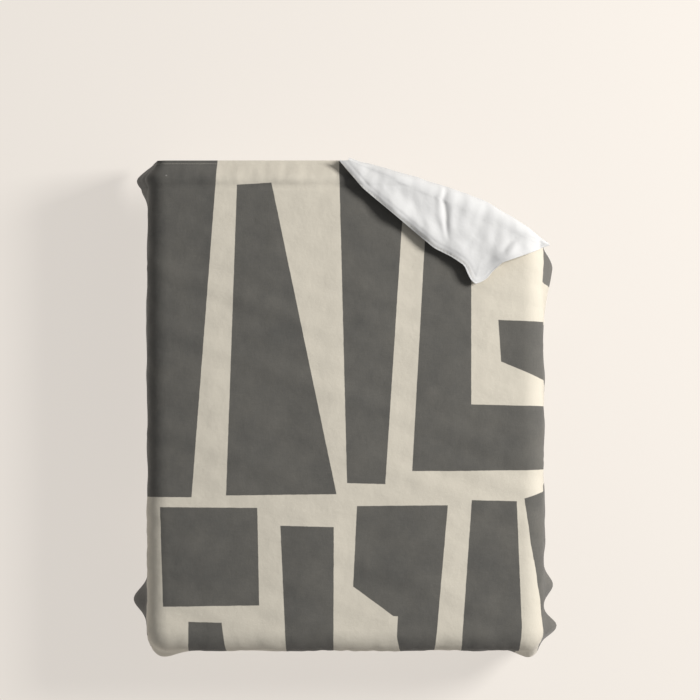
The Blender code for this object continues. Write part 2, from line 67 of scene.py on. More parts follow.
CREASE_DEGREES = 50.0  # edges sharper than this are shaded hard
ROLLING_WAVES = 9  # sine waves in one sum of soft uneven ground
ROUNDING_PASSES = 60  # averaging passes that round a drawn outline
ROUNDING_POINTS = 400  # points of the line while it is rounded
STITCH_RADIUS = 0.00042
STITCH_SHARE = 0.72  # share of the pitch that shows as thread


class Body(str, Enum):
    """Moving bodies that a piece can ride on."""

    LYING = "lying_duvet"
    CORNER = "turned_corner"


class Look(Enum):
    """Finish of a piece, with the name of the material slot that it shows."""

    PRINTED = ("printed_cotton", "cover_print")
    WHITE = ("white_cotton", "cover_white")
    CASING = ("casing_cotton", "insert_casing")
    WADDING = ("fibre_wadding", "insert_fill")
    TAPE = ("twill_tape", "woven_tape")
    COIL = ("nylon_coil", "zip_coil")
    METAL = ("nickel_metal", "zip_metal")
    THREAD = ("cream_thread", "cover_print")
    CORNER_THREAD = ("cream_thread", "cover_white")


# ---------------------------------------------------------------- small maths


def smooth_step(x: Array) -> Array:
    """Cubic step: 0 below 0, 1 above 1, 3x^2 - 2x^3 between."""
    x = np.clip(x, 0.0, 1.0)
    return x * x * (3.0 - 2.0 * x)


def bell(x: Array, width: float) -> Array:
    """Bell curve exp(-(x / width)^2)."""
    return np.exp(-((x / width) ** 2))


def rolling(x: Array, y: Array, scale: float, seed: int) -> Array:
    """Soft uneven ground: a sum of sine waves in seeded directions, about -1 to 1.

    Args:
        x, y: places in metres.
        scale: rough distance from crest to crest.
        seed: seed of the directions and phases.

    Returns:
        The sum, divided by the square root of the number of waves.
    """
    random = np.random.default_rng(seed)
    total = np.zeros_like(x)
    for _ in range(ROLLING_WAVES):
        direction, phase = random.uniform(0.0, 2.0 * math.pi, 2)
        number = 2.0 * math.pi / (scale * random.uniform(0.6, 1.7))
        total = total + np.sin(number * (x * math.cos(direction) + y * math.sin(direction)) + phase)
    return total / math.sqrt(ROLLING_WAVES)


def eased(line: Array, passes: int) -> Array:
    """A line averaged with its neighbours, its two ends kept, a number of times."""
    for _ in range(passes):
        line[1:-1] = 0.25 * line[:-2] + 0.5 * line[1:-1] + 0.25 * line[2:]
    return line


def smooth_path(points: Outline, count: int) -> Array:
    """Points evenly spaced along a rounded line through the given ones.

    Args:
        points: the line's own points, in order.
        count: number of points returned.

    Returns:
        Array of count rows.
    """
    return resample(eased(resample(np.array(points, float), ROUNDING_POINTS), ROUNDING_PASSES), count)


def resample(line: Array, count: int) -> Array:
    """Points evenly spaced by length along a line of points."""
    length = np.concatenate([[0.0], np.cumsum(np.linalg.norm(np.diff(line, axis=0), axis=1))])
    want = np.linspace(0.0, length[-1], count)
    return np.stack([np.interp(want, length, line[:, k]) for k in range(line.shape[1])], axis=1)


# ---------------------------------------------------------------- meshes


def make_mesh(name: str, points: Array, quads: Array, uv: Array | None = None) -> Piece:
    """An object from arrays of points and four-sided faces.

    Args:
        name: the piece's name.
        points: N x 3 places in metres.
        quads: M x 4 point numbers, anticlockwise from outside.
        uv: N x 2 flat-cloth places of the points, stored as the "cloth" map.

    Returns:
        The new object, linked into the scene.
    """
    mesh = bpy.data.meshes.new(name)
    mesh.vertices.add(len(points))
    mesh.vertices.foreach_set("co", np.ascontiguousarray(points, np.float32).ravel())
    mesh.loops.add(quads.size)
    mesh.loops.foreach_set("vertex_index", np.ascontiguousarray(quads, np.int32).ravel())
    mesh.polygons.add(len(quads))
    mesh.polygons.foreach_set("loop_start", np.arange(0, quads.size, quads.shape[1], dtype=np.int32))
    mesh.update(calc_edges=True)
    if uv is not None:
        layer = mesh.uv_layers.new(name="cloth")
        layer.data.foreach_set("uv", np.ascontiguousarray(uv[quads.ravel()], np.float32).ravel())
    mesh.validate()
    mesh.shade_smooth()
    mesh.set_sharp_from_angle(angle=math.radians(CREASE_DEGREES))
    made = bpy.data.objects.new(name, mesh)
    bpy.context.scene.collection.objects.link(made)
    return made


def grid_quads(rows: int, columns: int, first: int = 0, flip: bool = False) -> Array:
    """Faces of a rows x columns grid of points, numbered row by row from first."""
    number = first + np.arange(rows * columns).reshape(rows, columns)
    quads = np.stack([number[:-1, :-1], number[1:, :-1], number[1:, 1:], number[:-1, 1:]], axis=-1)
    quads = quads.reshape(-1, 4)
    return quads[:, ::-1] if flip else quads


def closed_sheet(name: str, top: Array, bottom: Array, uv: Array) -> Piece:
    """A closed thin solid between two grids of points, with a wall round its rim.

    Args:
        name: the piece's name.
        top: A x B x 3 grid; its first index runs along +x and its second along +y.
        bottom: the grid under it.
        uv: A x B x 2 flat-cloth places.

    Returns:
        The new object.
    """
    rows, columns = top.shape[:2]
    total = rows * columns
    number = np.arange(total).reshape(rows, columns)
    rim = np.concatenate([number[:-1, 0], number[-1, :-1], number[:0:-1, -1], number[0, :0:-1]])
    after = np.roll(rim, -1)
    walls = np.stack([rim, rim + total, after + total, after], axis=-1)
    quads = np.concatenate([grid_quads(rows, columns), grid_quads(rows, columns, total, True), walls])
    points = np.concatenate([top.reshape(-1, 3), bottom.reshape(-1, 3)])
    flat = uv.reshape(-1, 2)
    return outwards(make_mesh(name, points, quads, np.concatenate([flat, flat])))


def closed_tube(name: str, rings: Array, uv: Array) -> Piece:
    """A closed tube from rings of an even number of points, each end closed by a ladder of faces.

    Args:
        name: the piece's name.
        rings: A x B x 3 points, one ring of B points for each of A stations.
        uv: A x B x 2 flat-cloth places.

    Returns:
        The new object.
    """
    stations, around = rings.shape[:2]
    number = np.arange(stations * around).reshape(stations, around)
    wrapped = np.concatenate([number, number[:, :1]], axis=1)
    sides = np.stack([wrapped[:-1, :-1], wrapped[1:, :-1], wrapped[1:, 1:], wrapped[:-1, 1:]], -1)
    quads = [sides.reshape(-1, 4)]
    half = around // 2
    for ring, flip in ((number[0], False), (number[-1], True)):
        left, right = ring[:half], ring[::-1][:half]
        cap = np.stack([left[:-1], left[1:], right[1:], right[:-1]], -1)
        quads.append(cap[:, ::-1] if flip else cap)
    return outwards(make_mesh(name, rings.reshape(-1, 3), np.concatenate(quads), uv.reshape(-1, 2)))


def outwards(made: Piece) -> Piece:
    """Turns a closed mesh's faces outwards by the sign of its volume, and returns the piece."""
    mesh = made.data
    mesh.calc_loop_triangles()
    places = np.zeros(len(mesh.vertices) * 3)
    mesh.vertices.foreach_get("co", places)
    places = places.reshape(-1, 3)
    corners = np.zeros(len(mesh.loop_triangles) * 3, np.int32)
    mesh.loop_triangles.foreach_get("vertices", corners)
    a, b, c = (places[corners.reshape(-1, 3)[:, k]] for k in range(3))
    if np.einsum("ij,ij->i", a, np.cross(b, c)).sum() < 0.0:
        mesh.flip_normals()
    return made


def repeated(name: str, shape: Array, faces: Array, places: Array, frames: Array) -> Piece:
    """One mesh of many copies of a small closed shape.

    Each copy's point is place + frame (as columns) times the shape's point.

    Args:
        name: the piece's name.
        shape: S x 3 points of the small shape.
        faces: its faces.
        places: N x 3 places of the copies.
        frames: N x 3 x 3 axes of the copies, one axis to a row.

    Returns:
        The new object.
    """
    points = places[:, None, :] + np.einsum("sk,nkj->nsj", shape, frames)
    shift = (np.arange(len(places)) * len(shape))[:, None, None]
    quads = (faces[None] + shift).reshape(-1, faces.shape[1])
    return outwards(make_mesh(name, points.reshape(-1, 3), quads))


def stitch_shape(length: float, radius: float) -> tuple[Array, Array]:
    """A stitch: a six-sided grain of thread, thick in its middle and closed at its ends."""
    stations = np.array([-0.5, -0.35, 0.0, 0.35, 0.5])
    girth = np.array([0.25, 0.8, 1.0, 0.8, 0.25])
    turn = turns(6)
    rings = np.stack([
        np.repeat(stations[:, None] * length, 6, 1),
        girth[:, None] * radius * np.cos(turn)[None],
        girth[:, None] * radius * np.sin(turn)[None]], axis=-1)
    number = np.arange(30).reshape(5, 6)
    wrapped = np.concatenate([number, number[:, :1]], axis=1)
    sides = np.stack([wrapped[:-1, :-1], wrapped[:-1, 1:], wrapped[1:, 1:], wrapped[1:, :-1]], -1)
    ends = [[0, 5, 4, 3], [0, 3, 2, 1], [24, 25, 26, 27], [24, 27, 28, 29]]
    return rings.reshape(-1, 3), np.concatenate([sides.reshape(-1, 4), np.array(ends)])


def unit(arrows: Array) -> Array:
    """Arrows scaled to length 1."""
    return arrows / (np.linalg.norm(arrows, axis=-1, keepdims=True) + 1e-12)


def leftwards(line: Array) -> Array:
    """Unit directions in plan, square to a line and to the left of it."""
    ahead = unit(np.gradient(line, axis=0))
    return np.stack([-ahead[:, 1], ahead[:, 0]], axis=1)


def turns(count: int) -> Array:
    """Evenly spaced angles once round, without the last."""
    return np.arange(count) * (2.0 * math.pi / count)


def frames_along(line: Array, up: Array) -> Array:
    """Axes at each point of a line: along it, across it, and up.

    Args:
        line: N x 3 points.
        up: N x 3 rough upward directions.

    Returns:
        N x 3 x 3 unit axes, one to a row.
    """
    along = unit(np.gradient(line, axis=0))
    across = unit(np.cross(up, along))
    return np.stack([along, across, np.cross(along, across)], axis=1)


# ---------------------------------------------------------------- materials


class Nodes:
    """Short hand for building one node material."""

    def __init__(self, name: str) -> None:
        """Starts an empty node material.

        Args:
            name: the finish's name.
        """
        self.material = bpy.data.materials.new(name)
        self.material.use_nodes = True
        self.tree = self.material.node_tree
        self.tree.nodes.clear()

    def add(self, kind: str, inputs: dict | None = None, **settings) -> bpy.types.Node:
        """Adds a node.

        Args:
            kind: the node's type, without the ShaderNode prefix.
            inputs: socket name or number to a value or to another node's output socket.
            settings: the node's own properties.

        Returns:
            The node.
        """
        node = self.tree.nodes.new("ShaderNode" + kind)
        for key, value in settings.items():
            setattr(node, key, value)
        for key, value in (inputs or {}).items():
            self.plug(node.inputs[key], value)
        return node

    def plug(self, socket: Socket, value) -> None:
        """Links another node's output into a socket, or sets the socket's own value."""
        if isinstance(value, Socket):
            self.tree.links.new(value, socket)
        elif socket.type == "RGBA" and len(value) == 3:
            socket.default_value = (*value, 1.0)
        else:
            socket.default_value = value

    def math(self, operation: str, a, b=0.0, c=0.0) -> Socket:
        """A math node's output; a, b and c are numbers or sockets."""
        return self.add("Math", {0: a, 1: b, 2: c}, operation=operation).outputs[0]

    def times(self, a, b) -> Socket:
        """The product of two numbers or sockets."""
        return self.math("MULTIPLY", a, b)

    def plus(self, a, b) -> Socket:
        """The sum of two numbers or sockets."""
        return self.math("ADD", a, b)

    def blend(self, share, a, b) -> Socket:
        """Colour a where share is 0 and b where it is 1."""
        return self.add("Mix", {0: share, 6: a, 7: b}, data_type="RGBA").outputs[2]

    def noise(self, vector, scale: float, detail: float = 3.0, roughness: float = 0.5) -> Socket:
        """A noise texture's value, 0 to 1."""
        return self.add("TexNoise", {"Vector": vector, "Scale": scale, "Detail": detail,
                                     "Roughness": roughness}).outputs[0]

    def place(self) -> Socket:
        """Object coordinates, in metres."""
        return self.add("TexCoord").outputs["Object"]

    def cloth(self) -> Socket:
        """Flat-cloth coordinates, in metres, with 1 in the third place."""
        parts = self.add("SeparateXYZ", {0: self.add("UVMap", uv_map="cloth").outputs[0]})
        return self.add("CombineXYZ", {0: parts.outputs[0], 1: parts.outputs[1], 2: 1.0}).outputs[0]

    def finish(self, colour, normal, roughness, **constants) -> bpy.types.Material:
        """Ends the material in a Principled shader.

        Args:
            colour: base colour, a value or a socket.
            normal: normal socket, or None.
            roughness: a number or a socket.
            constants: other sockets' fixed values, with _ for a space.

        Returns:
            The material.
        """
        values = {"Base Color": colour, "Roughness": roughness}
        if normal is not None:
            values["Normal"] = normal
        values.update((key.replace("_", " "), value) for key, value in constants.items())
        self.add("OutputMaterial", {0: self.add("BsdfPrincipled", values).outputs[0]})
        return self.material


@dataclass(frozen=True)
class WovenFinish:
    """Plain woven cloth: yarn-scale weave, slubs, faint mottling and soft crumples."""

    name: str
    colour: Colour
    shade: Colour
    yarn: float = 0.0007
    weave_depth: float = 0.00012
    crumple_depth: float = 0.0016
    crumple_scale: float = 26.0
    roughness: float = 0.82
    sheen: float = 0.25
    mottling: float = 0.10
    uses_map: bool = True

    def weave(self, nodes: Nodes, vector) -> Socket:
        """Height of warp over weft: the product of two crossed sine waves, 0 to 1."""
        parts = nodes.add("SeparateXYZ", {0: vector})
        number = math.pi / self.yarn
        warp = nodes.math("SINE", nodes.times(parts.outputs[0], number))
        weft = nodes.math("SINE", nodes.times(parts.outputs[1], number))
        return nodes.math("MULTIPLY_ADD", nodes.times(warp, weft), 0.5, 0.5)

    def relief(self, nodes: Nodes, vector) -> Socket:
        """Normal from the weave and from two scales of crumple."""
        coarse = nodes.noise(vector, self.crumple_scale * 0.33, 3.0, 0.55)
        fine = nodes.noise(vector, self.crumple_scale, 4.0, 0.6)
        crumple = nodes.plus(nodes.times(coarse, self.crumple_depth * 2.4),
                             nodes.times(fine, self.crumple_depth))
        height = nodes.plus(crumple, nodes.times(self.weave(nodes, vector), self.weave_depth))
        return nodes.add("Bump", {"Strength": 1.0, "Distance": 1.0, "Height": height}).outputs[0]

    def mottle(self, nodes: Nodes, vector, base) -> Socket:
        """The colour varied by slow patches and by slubs along both yarns."""
        slow = nodes.noise(vector, 7.0, 4.0, 0.6)
        parts = nodes.add("SeparateXYZ", {0: vector})
        slubs = []
        for stretch in ((900.0, 22.0), (22.0, 900.0)):
            moved = nodes.add("CombineXYZ", {0: nodes.times(parts.outputs[0], stretch[0]),
                                             1: nodes.times(parts.outputs[1], stretch[1])})
            slubs.append(nodes.noise(moved.outputs[0], 1.0, 2.0))
        share = nodes.plus(nodes.times(slow, 0.55),
                           nodes.times(nodes.plus(slubs[0], slubs[1]), 0.225))
        share = nodes.add("MapRange", {"Value": share, "From Min": 0.36, "From Max": 0.64,
                                       "To Min": 0.0, "To Max": 1.0}).outputs[0]
        return nodes.blend(nodes.times(share, self.mottling), base, self.shade)

    def base(self, nodes: Nodes, vector):
        """The cloth's own colour before mottling."""
        return self.colour

    def build(self) -> bpy.types.Material:
        """The finished material."""
        nodes = Nodes(self.name)
        vector = nodes.cloth() if self.uses_map else nodes.place()
        colour = self.mottle(nodes, vector, self.base(nodes, vector))
        return nodes.finish(colour, self.relief(nodes, vector), self.roughness,
                            Sheen_Weight=self.sheen, Sheen_Roughness=0.5, Specular_IOR_Level=0.25)


@dataclass(frozen=True)
class PrintedFinish(WovenFinish):
    """Woven cloth printed with large soft-edged shapes, drawn as crossings of half-planes."""

    ink: Colour = (0.060, 0.060, 0.058)
    shapes: tuple[Outline, ...] = ()
    bleed: float = 0.0011
    wander: float = 0.0024
    wear: float = 0.12

    def base(self, nodes: Nodes, vector):
        """Ink inside any shape: the greatest, over shapes, of the least distance to an edge."""
        shift = nodes.add("TexNoise", {"Vector": vector, "Scale": 34.0, "Detail": 3.0})
        offset = nodes.add("VectorMath", {0: shift.outputs[1], 1: (0.5, 0.5, 0.5)}, operation="SUBTRACT")
        flat = nodes.add("VectorMath", {0: offset.outputs[0], 1: (self.wander, self.wander, 0.0)},
                         operation="MULTIPLY")
        moved = nodes.add("VectorMath", {0: vector, 1: flat.outputs[0]}, operation="ADD").outputs[0]
        inside = None
        for outline in self.shapes:
            shape = self.shape(nodes, moved, outline)
            inside = shape if inside is None else nodes.math("MAXIMUM", inside, shape)
        share = nodes.add("MapRange", {"Value": inside, "From Min": -self.bleed, "From Max": self.bleed},
                          interpolation_type="SMOOTHSTEP").outputs[0]
        worn = nodes.times(nodes.noise(vector, 420.0, 2.0), self.wear)
        share = nodes.math("SUBTRACT", share, nodes.times(share, worn))
        return nodes.blend(share, self.colour, self.ink)

    def shape(self, nodes: Nodes, vector, outline: Outline) -> Socket:
        """Least signed distance to the edges of one convex outline, positive inside.

        Args:
            nodes: the material being built.
            vector: flat-cloth place with 1 in the third place.
            outline: corners in order, either way round.

        Returns:
            The distance's socket.
        """
        corners = np.array(outline)
        ahead = np.roll(corners, -1, axis=0)
        area = float(np.sum(corners[:, 0] * ahead[:, 1] - ahead[:, 0] * corners[:, 1]))
        least = None
        for start, end in zip(corners, ahead):
            run = (end - start) / np.linalg.norm(end - start) * math.copysign(1.0, area)
            normal = (-run[1], run[0], run[1] * start[0] - run[0] * start[1])
            away = nodes.add("VectorMath", {0: vector, 1: tuple(map(float, normal))},
                             operation="DOT_PRODUCT").outputs["Value"]
            least = away if least is None else nodes.math("MINIMUM", least, away)
        return least


@dataclass(frozen=True)
class FluffFinish:
    """Fibre wadding: bright, rough and fuzzy."""

    name: str
    colour: Colour
    shade: Colour

    def build(self) -> bpy.types.Material:
        """The finished material: a fine noise for fibres and a coarse one for tufts, with sheen."""
        nodes = Nodes(self.name)
        place = nodes.place()
        fibre = nodes.noise(place, 260.0, 5.0, 0.7)
        tuft = nodes.noise(place, 38.0, 4.0, 0.6)
        colour = nodes.blend(nodes.times(tuft, 0.5), self.colour, self.shade)
        height = nodes.plus(nodes.times(tuft, 0.004), nodes.times(fibre, 0.001))
        bump = nodes.add("Bump", {"Strength": 0.8, "Distance": 1.0, "Height": height}).outputs[0]
        return nodes.finish(colour, bump, 0.95, Sheen_Weight=0.4, Sheen_Roughness=0.6)


@dataclass(frozen=True)
class SolidFinish:
    """Nylon or metal: a plain colour with scuffs, fine pits and wear in random patches."""

    name: str
    colour: Colour
    worn: Colour
    roughness: float
    metallic: float

    def build(self) -> bpy.types.Material:
        """The finished material."""
        nodes = Nodes(self.name)
        place = nodes.place()
        patch = nodes.noise(place, 900.0, 4.0, 0.6)
        share = nodes.add("MapRange", {"Value": patch, "From Min": 0.45, "From Max": 0.7}).outputs[0]
        colour = nodes.blend(nodes.times(share, 0.5), self.colour, self.worn)
        rough = nodes.math("MULTIPLY_ADD", patch, 0.2, self.roughness - 0.1)
        bump = nodes.add("Bump", {"Strength": 0.3, "Distance": 0.0001,
                                  "Height": nodes.noise(place, 2500.0, 3.0)}).outputs[0]
        return nodes.finish(colour, bump, rough, Metallic=self.metallic)


@dataclass
class Wardrobe:
    """Every material of the duvet, built once."""

    cream: Colour = (0.63, 0.585, 0.495)
    white: Colour = (0.67, 0.668, 0.662)
    materials: dict[str, bpy.types.Material] = field(default_factory=dict)

    def shapes(self) -> tuple[Outline, ...]:
        """The printed blocks as convex outlines, in flat-cloth metres from the bed's middle."""
        return (
            ((-0.466, 1.0), (-0.571, -0.374), (-1.1, -0.374), (-1.1, 1.0)),
            ((-0.4025, 0.7855), (-0.2745, 0.793), (-0.033, -0.363), (-0.443, -0.368)),
            ((-0.027, 1.0), (0.006, -0.322), (0.148, -0.326), (0.21, 0.639), (0.2285, 1.0)),
            ((0.318, 1.0), (0.295, 0.583), (0.28, 0.357), (0.243, -0.277), (0.467, -0.277), (0.467, 1.0)),
            ((0.40, -0.028), (0.72, -0.036), (1.1, -0.046), (1.1, -0.266), (0.673, -0.274), (0.40, -0.277)),
            ((0.567, 0.284), (0.735, 0.277), (1.1, 0.262), (1.1, -0.01), (0.731, 0.066), (0.655, 0.097),
             (0.578, 0.129)),
            ((-0.688, -0.411), (-0.327, -0.414), (-0.320, -0.776), (-0.677, -0.781)),
            ((-0.5825, -0.837), (-0.459, -0.84), (-0.405, -1.3), (-0.59, -1.3)),
            ((-0.2415, -0.48), (-0.043, -0.485), (-0.046, -1.3), (-0.205, -1.3), (-0.223, -0.90)),
            ((0.043, -0.407), (0.380, -0.404), (0.337, -0.901), (0.334, -0.93), (0.1775, -0.815),
             (0.024, -0.802)),
            ((0.1775, -0.80), (0.346, -0.80), (0.337, -0.901), (0.30, -1.3), (0.17, -1.3), (0.191, -0.89)),
            ((0.469, -0.385), (0.636, -0.389), (0.655, -0.86), (0.62, -1.3), (0.42, -1.3), (0.434, -0.89)),
            ((0.664, -0.379), (0.73, -0.359), (1.1, -0.30), (1.1, -0.62), (0.702, -0.608), (0.69, -0.548)),
            ((0.702, -0.60), (1.1, -0.60), (1.1, -1.3), (0.86, -1.3), (0.739, -0.793)),
            ((0.765, 0.425), (0.785, 0.60), (1.1, 0.63), (1.1, 0.40)),
            ((-0.79, -0.64), (-0.79, -0.92), (-1.1, -0.95), (-1.1, -0.62)),
        )

    def build(self) -> None:
        """Builds each finish and keeps its material by name."""
        finishes = [
            PrintedFinish("printed_cotton", self.cream, (0.50, 0.46, 0.38), sheen=0.15,
                          shapes=self.shapes()),
            WovenFinish("white_cotton", self.white, (0.58, 0.575, 0.565), sheen=0.10),
            WovenFinish("casing_cotton", (0.80, 0.79, 0.76), (0.62, 0.60, 0.56), yarn=0.0004, sheen=0.15),
            FluffFinish("fibre_wadding", (0.90, 0.90, 0.88), (0.74, 0.74, 0.72)),
            WovenFinish("twill_tape", (0.78, 0.77, 0.74), (0.55, 0.53, 0.49), yarn=0.0005, weave_depth=0.0002,
                        crumple_depth=0.0002, crumple_scale=180.0, sheen=0.1, uses_map=False),
            WovenFinish("cream_thread", (0.70, 0.66, 0.57), (0.5, 0.46, 0.38), yarn=0.0003,
                        crumple_depth=0.0001, crumple_scale=800.0, uses_map=False),
            SolidFinish("nylon_coil", (0.72, 0.69, 0.63), (0.55, 0.52, 0.46), 0.42, 0.0),
            SolidFinish("nickel_metal", (0.62, 0.60, 0.56), (0.42, 0.40, 0.36), 0.32, 1.0),
        ]
        for finish in finishes:
            self.materials[finish.name] = finish.build()

    def dress(self, made: Piece, look: Look) -> None:
        """Gives a piece its material and logs its face count and finish."""
        finish, slot = look.value
        made.data.materials.append(self.materials[finish])
        LOG.info("%s: %d faces, %s", made.name, len(made.data.polygons), finish)

    def keep(self, made: Piece, look: Look, nodes: Sequence[str] = (), body: Body = Body.LYING) -> None:
        """Dresses a piece, lets it ride on a body, and hides the solids that it stands for."""
        self.dress(made, look)
        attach(made, body.value)
        if nodes:
            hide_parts(*nodes)

    def dress_node(self, name: str, look: Look) -> None:
        """Gives a node of the fixed frame a finish without touching its mesh."""
        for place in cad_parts[name].material_slots:
            place.material = self.materials[look.value[0]]
        LOG.info("%s: kept, with %s", name, look.value[0])


# ---------------------------------------------------------------- the drape


@dataclass
class Drape:
    """Resting form of the duvet: flat on top, bent over three edges, with flared hems."""

    half_top: float = 0.665
    half_width: float = 1.0
    head: float = 0.876
    foot_edge: float = -0.876
    foot: float = -1.124
    radius: float = 0.035
    angle: float = math.radians(87.0)
    corner_arc: float = 0.10
    foot_drop: float = 0.248
    thickness: float = 0.0383
    hem: float = 0.0041
    zip_hem: float = 0.0109
    zip_half: float = 0.52
    inset: float = 0.018
    run_in: float = 0.072
    fold_start: float = 0.01
    fold_angle: float = math.radians(22.75)
    fold_ease: float = 0.012
    ease_run_in: float = 0.02
    ease_length: float = 0.05
    zip_run_out: float = 0.05
    grid_start: float = 0.30
    left_waves: Waves = ((0.185, 0.052, 0.055), (-0.06, 0.040, 0.060), (1.765, 0.030, 0.060))
    right_waves: Waves = ((0.240, 0.036, 0.045), (0.085, 0.050, 0.040), (-0.06, 0.038, 0.055),
                          (1.48, 0.036, 0.140))

    @property
    def outer(self) -> float:
        """Radius of the printed face over the bed's edge."""
        return self.radius + self.thickness

    @property
    def fold_away(self) -> Array:
        """Direction in plan from the bed across the corner's fold line, square to it."""
        return np.array([math.sin(self.fold_angle), math.cos(self.fold_angle)])

    def beyond(self, s: Array, t: Array) -> tuple[Array, Array, Array]:
        """Cloth beyond the top's side, beyond its foot, and the two together."""
        side = np.maximum(np.abs(s) - self.half_top, 0.0)
        foot = np.maximum(self.foot_edge - t, 0.0)
        return side, foot, np.hypot(side, foot)

    def place(self, s: Array, t: Array, n: Array) -> Array:
        """Where a point of the duvet rests.

        The cloth beyond the top's edge bends through the drape angle on an arc and then hangs
        straight; a corner fans round.  Bells along the hem push the hanging cloth out.

        Args:
            s, t: flat-cloth place across and along the bed.
            n: height above the underside, square to the cloth.

        Returns:
            Places in metres, with x, y and z in the last axis.
        """
        side, foot, down = self.beyond(s, t)
        turn = np.where(down > 0.0, np.arctan2(foot, np.maximum(side, 1e-12)), 0.0)
        angle = np.minimum(down / self.radius, self.angle)
        hang = np.maximum(down - self.radius * self.angle, 0.0)
        out = self.radius * np.sin(angle) + hang * math.cos(self.angle)
        drop = self.radius * (1.0 - np.cos(angle)) + hang * math.sin(self.angle)
        out = out + self.flare(s, t, side, foot, turn) * smooth_step(hang / (self.foot_drop * 0.85))
        radial = out + n * np.sin(angle)
        x = np.sign(s) * (np.minimum(np.abs(s), self.half_top) + np.cos(turn) * radial)
        y = np.maximum(t, self.foot_edge) - np.sin(turn) * radial
        return np.stack([x, y, n * np.cos(angle) - drop], axis=-1)

    def flare(self, s: Array, t: Array, side: Array, foot: Array, turn: Array) -> Array:
        """Outward push of the hem: a sum of bells along the hem, on each side of the bed."""
        quarter = self.corner_arc * math.pi / 4.0
        along_side = quarter + (t - self.foot_edge)
        along_foot = -quarter - (self.half_top - np.abs(s))
        around = self.corner_arc * (math.pi / 4.0 - turn)
        along = np.where(foot <= 0.0, along_side, np.where(side <= 0.0, along_foot, around))
        push = np.zeros_like(along)
        for mask, waves in ((s < 0.0, self.left_waves), (s >= 0.0, self.right_waves)):
            total = sum(height * bell(along - centre, half) for centre, height, half in waves)
            push = np.where(mask, total, push)
        return push

    def cloth_map(self, s: Array, t: Array) -> Array:
        """Flat place on the printed face, where the bend is longer than on the underside."""
        side, foot, down = self.beyond(s, t)
        bend = self.radius * self.angle
        stretched = np.minimum(down, bend) * self.outer / self.radius + np.maximum(down - bend, 0.0)
        scale = stretched / np.maximum(down, 1e-9)
        u = np.sign(s) * (np.minimum(np.abs(s), self.half_top) + side * scale)
        return np.stack([u, np.maximum(t, self.foot_edge) - foot * scale], axis=-1)

    def hem_distance(self, s: Array, t: Array) -> Array:
        """Distance to the nearest of the four hems, on the flat cloth."""
        return np.minimum(np.minimum(self.half_width - np.abs(s), t - self.foot), self.head - t)

    def fold_limit(self, s: Array) -> Array:
        """Head end of the lying cloth: the hem, or the corner's fold, eased where it passes the edge."""
        fold = self.head - (s - self.fold_start) * math.tan(self.fold_angle)
        past = np.clip((s - self.half_top + self.ease_run_in) / self.ease_length, 0.0, 1.0)
        return np.minimum(self.head, fold - self.fold_ease * past)

    def loft(self, s: Array, t: Array) -> Array:
        """Share of the full thickness: 0 at a hem, rising as 1 - (1 - x)^2 behind it."""
        run = np.clip((self.hem_distance(s, t) - self.inset * 0.45) / self.run_in, 0.0, 1.0)
        return 1.0 - (1.0 - run) ** 2

    def zip_share(self, s: Array, t: Array) -> Array:
        """1 at the foot hem over the zip, falling to 0 beside it."""
        across = smooth_step((self.zip_half + self.zip_run_out - np.abs(s)) / self.zip_run_out)
        return across * smooth_step(1.0 - (t - self.foot) / 0.04)

    def relief(self, s: Array, t: Array) -> Array:
        """Height of the surface's own unevenness.

        Slow hollows on the top, a roll and a groove behind the hems, soft upright folds in the
        hanging cloth, and slanting draws at the corners.

        Args:
            s, t: flat-cloth place.

        Returns:
            Height in metres along the cloth's normal.
        """
        side, foot, down = self.beyond(s, t)
        hem = self.hem_distance(s, t)
        head = self.head - t
        slow = 0.0016 * rolling(s, t, 0.34, 3) + 0.0008 * rolling(s, t, 0.13, 5)
        crossing = 0.0011 * rolling(s * 0.35 + t, t * 0.2, 0.12, 8)
        head_roll = 0.0062 * bell(head - 0.062, 0.021) - 0.0042 * bell(head - 0.096, 0.010)
        head_roll = head_roll * (1.0 + 0.25 * rolling(s, t * 0.0, 0.16, 11))
        draws = 0.0013 * rolling(s, t * 0.18, 0.045, 13) * bell(head - 0.045, 0.04)
        side_roll = 0.0022 * bell(hem - 0.055, 0.022) * (down > 0.0)
        hanging = smooth_step(down / 0.16)
        folds = 0.0028 * hanging * np.where(foot > side, rolling(s, t * 0.12, 0.20, 17),
                                            rolling(s * 0.12, t, 0.24, 19))
        lip = np.exp(-((down - 0.055) / 0.035) ** 2) * (down > 0.0)
        puckers = 0.0013 * lip * rolling(s, t, 0.05, 23)
        open_zip = 1.0 - self.zip_share(s, t)
        inside = smooth_step(hem / 0.02)
        return (slow + crossing + head_roll + draws + side_roll + folds * open_zip + puckers) * inside

    def face(self, s: Array, t: Array) -> Array:
        """Height of the printed face above the underside."""
        hem = self.hem + (self.zip_hem - self.hem) * self.zip_share(s, t)
        return np.maximum(hem, hem + (self.thickness - hem) * self.loft(s, t) + self.relief(s, t))

    def sag(self, s: Array, t: Array) -> Array:
        """Shape of the underside: flat on the bed, softly uneven where it hangs."""
        _, _, down = self.beyond(s, t)
        open_zip = 1.0 - self.zip_share(s, t)
        return 0.0018 * smooth_step((down - 0.06) / 0.12) * (rolling(s, t, 0.15, 29) - 0.9) * open_zip

    def grid(self, columns: int, rows: int, inset: float = 0.0) -> tuple[Array, Array]:
        """Flat places of a grid over the lying cloth, sheared to follow the fold at the head.

        Args:
            columns, rows: numbers of lines across and along.
            inset: distance kept from the hems and the fold.

        Returns:
            Two columns x rows arrays, across and along.
        """
        s = np.linspace(-self.half_width + inset, self.half_width - inset, columns)[:, None]
        share = np.linspace(0.0, 1.0, rows)[None, :]
        start, low = self.grid_start, self.foot + inset
        full = self.head - inset
        straight = low + (full - low) * share
        limit = np.minimum(full, self.fold_limit(s))
        squeezed = start + (straight - start) * (limit - start) / (full - start)
        return np.broadcast_to(s, (columns, rows)) + 0.0, np.where(straight > start, squeezed, straight)


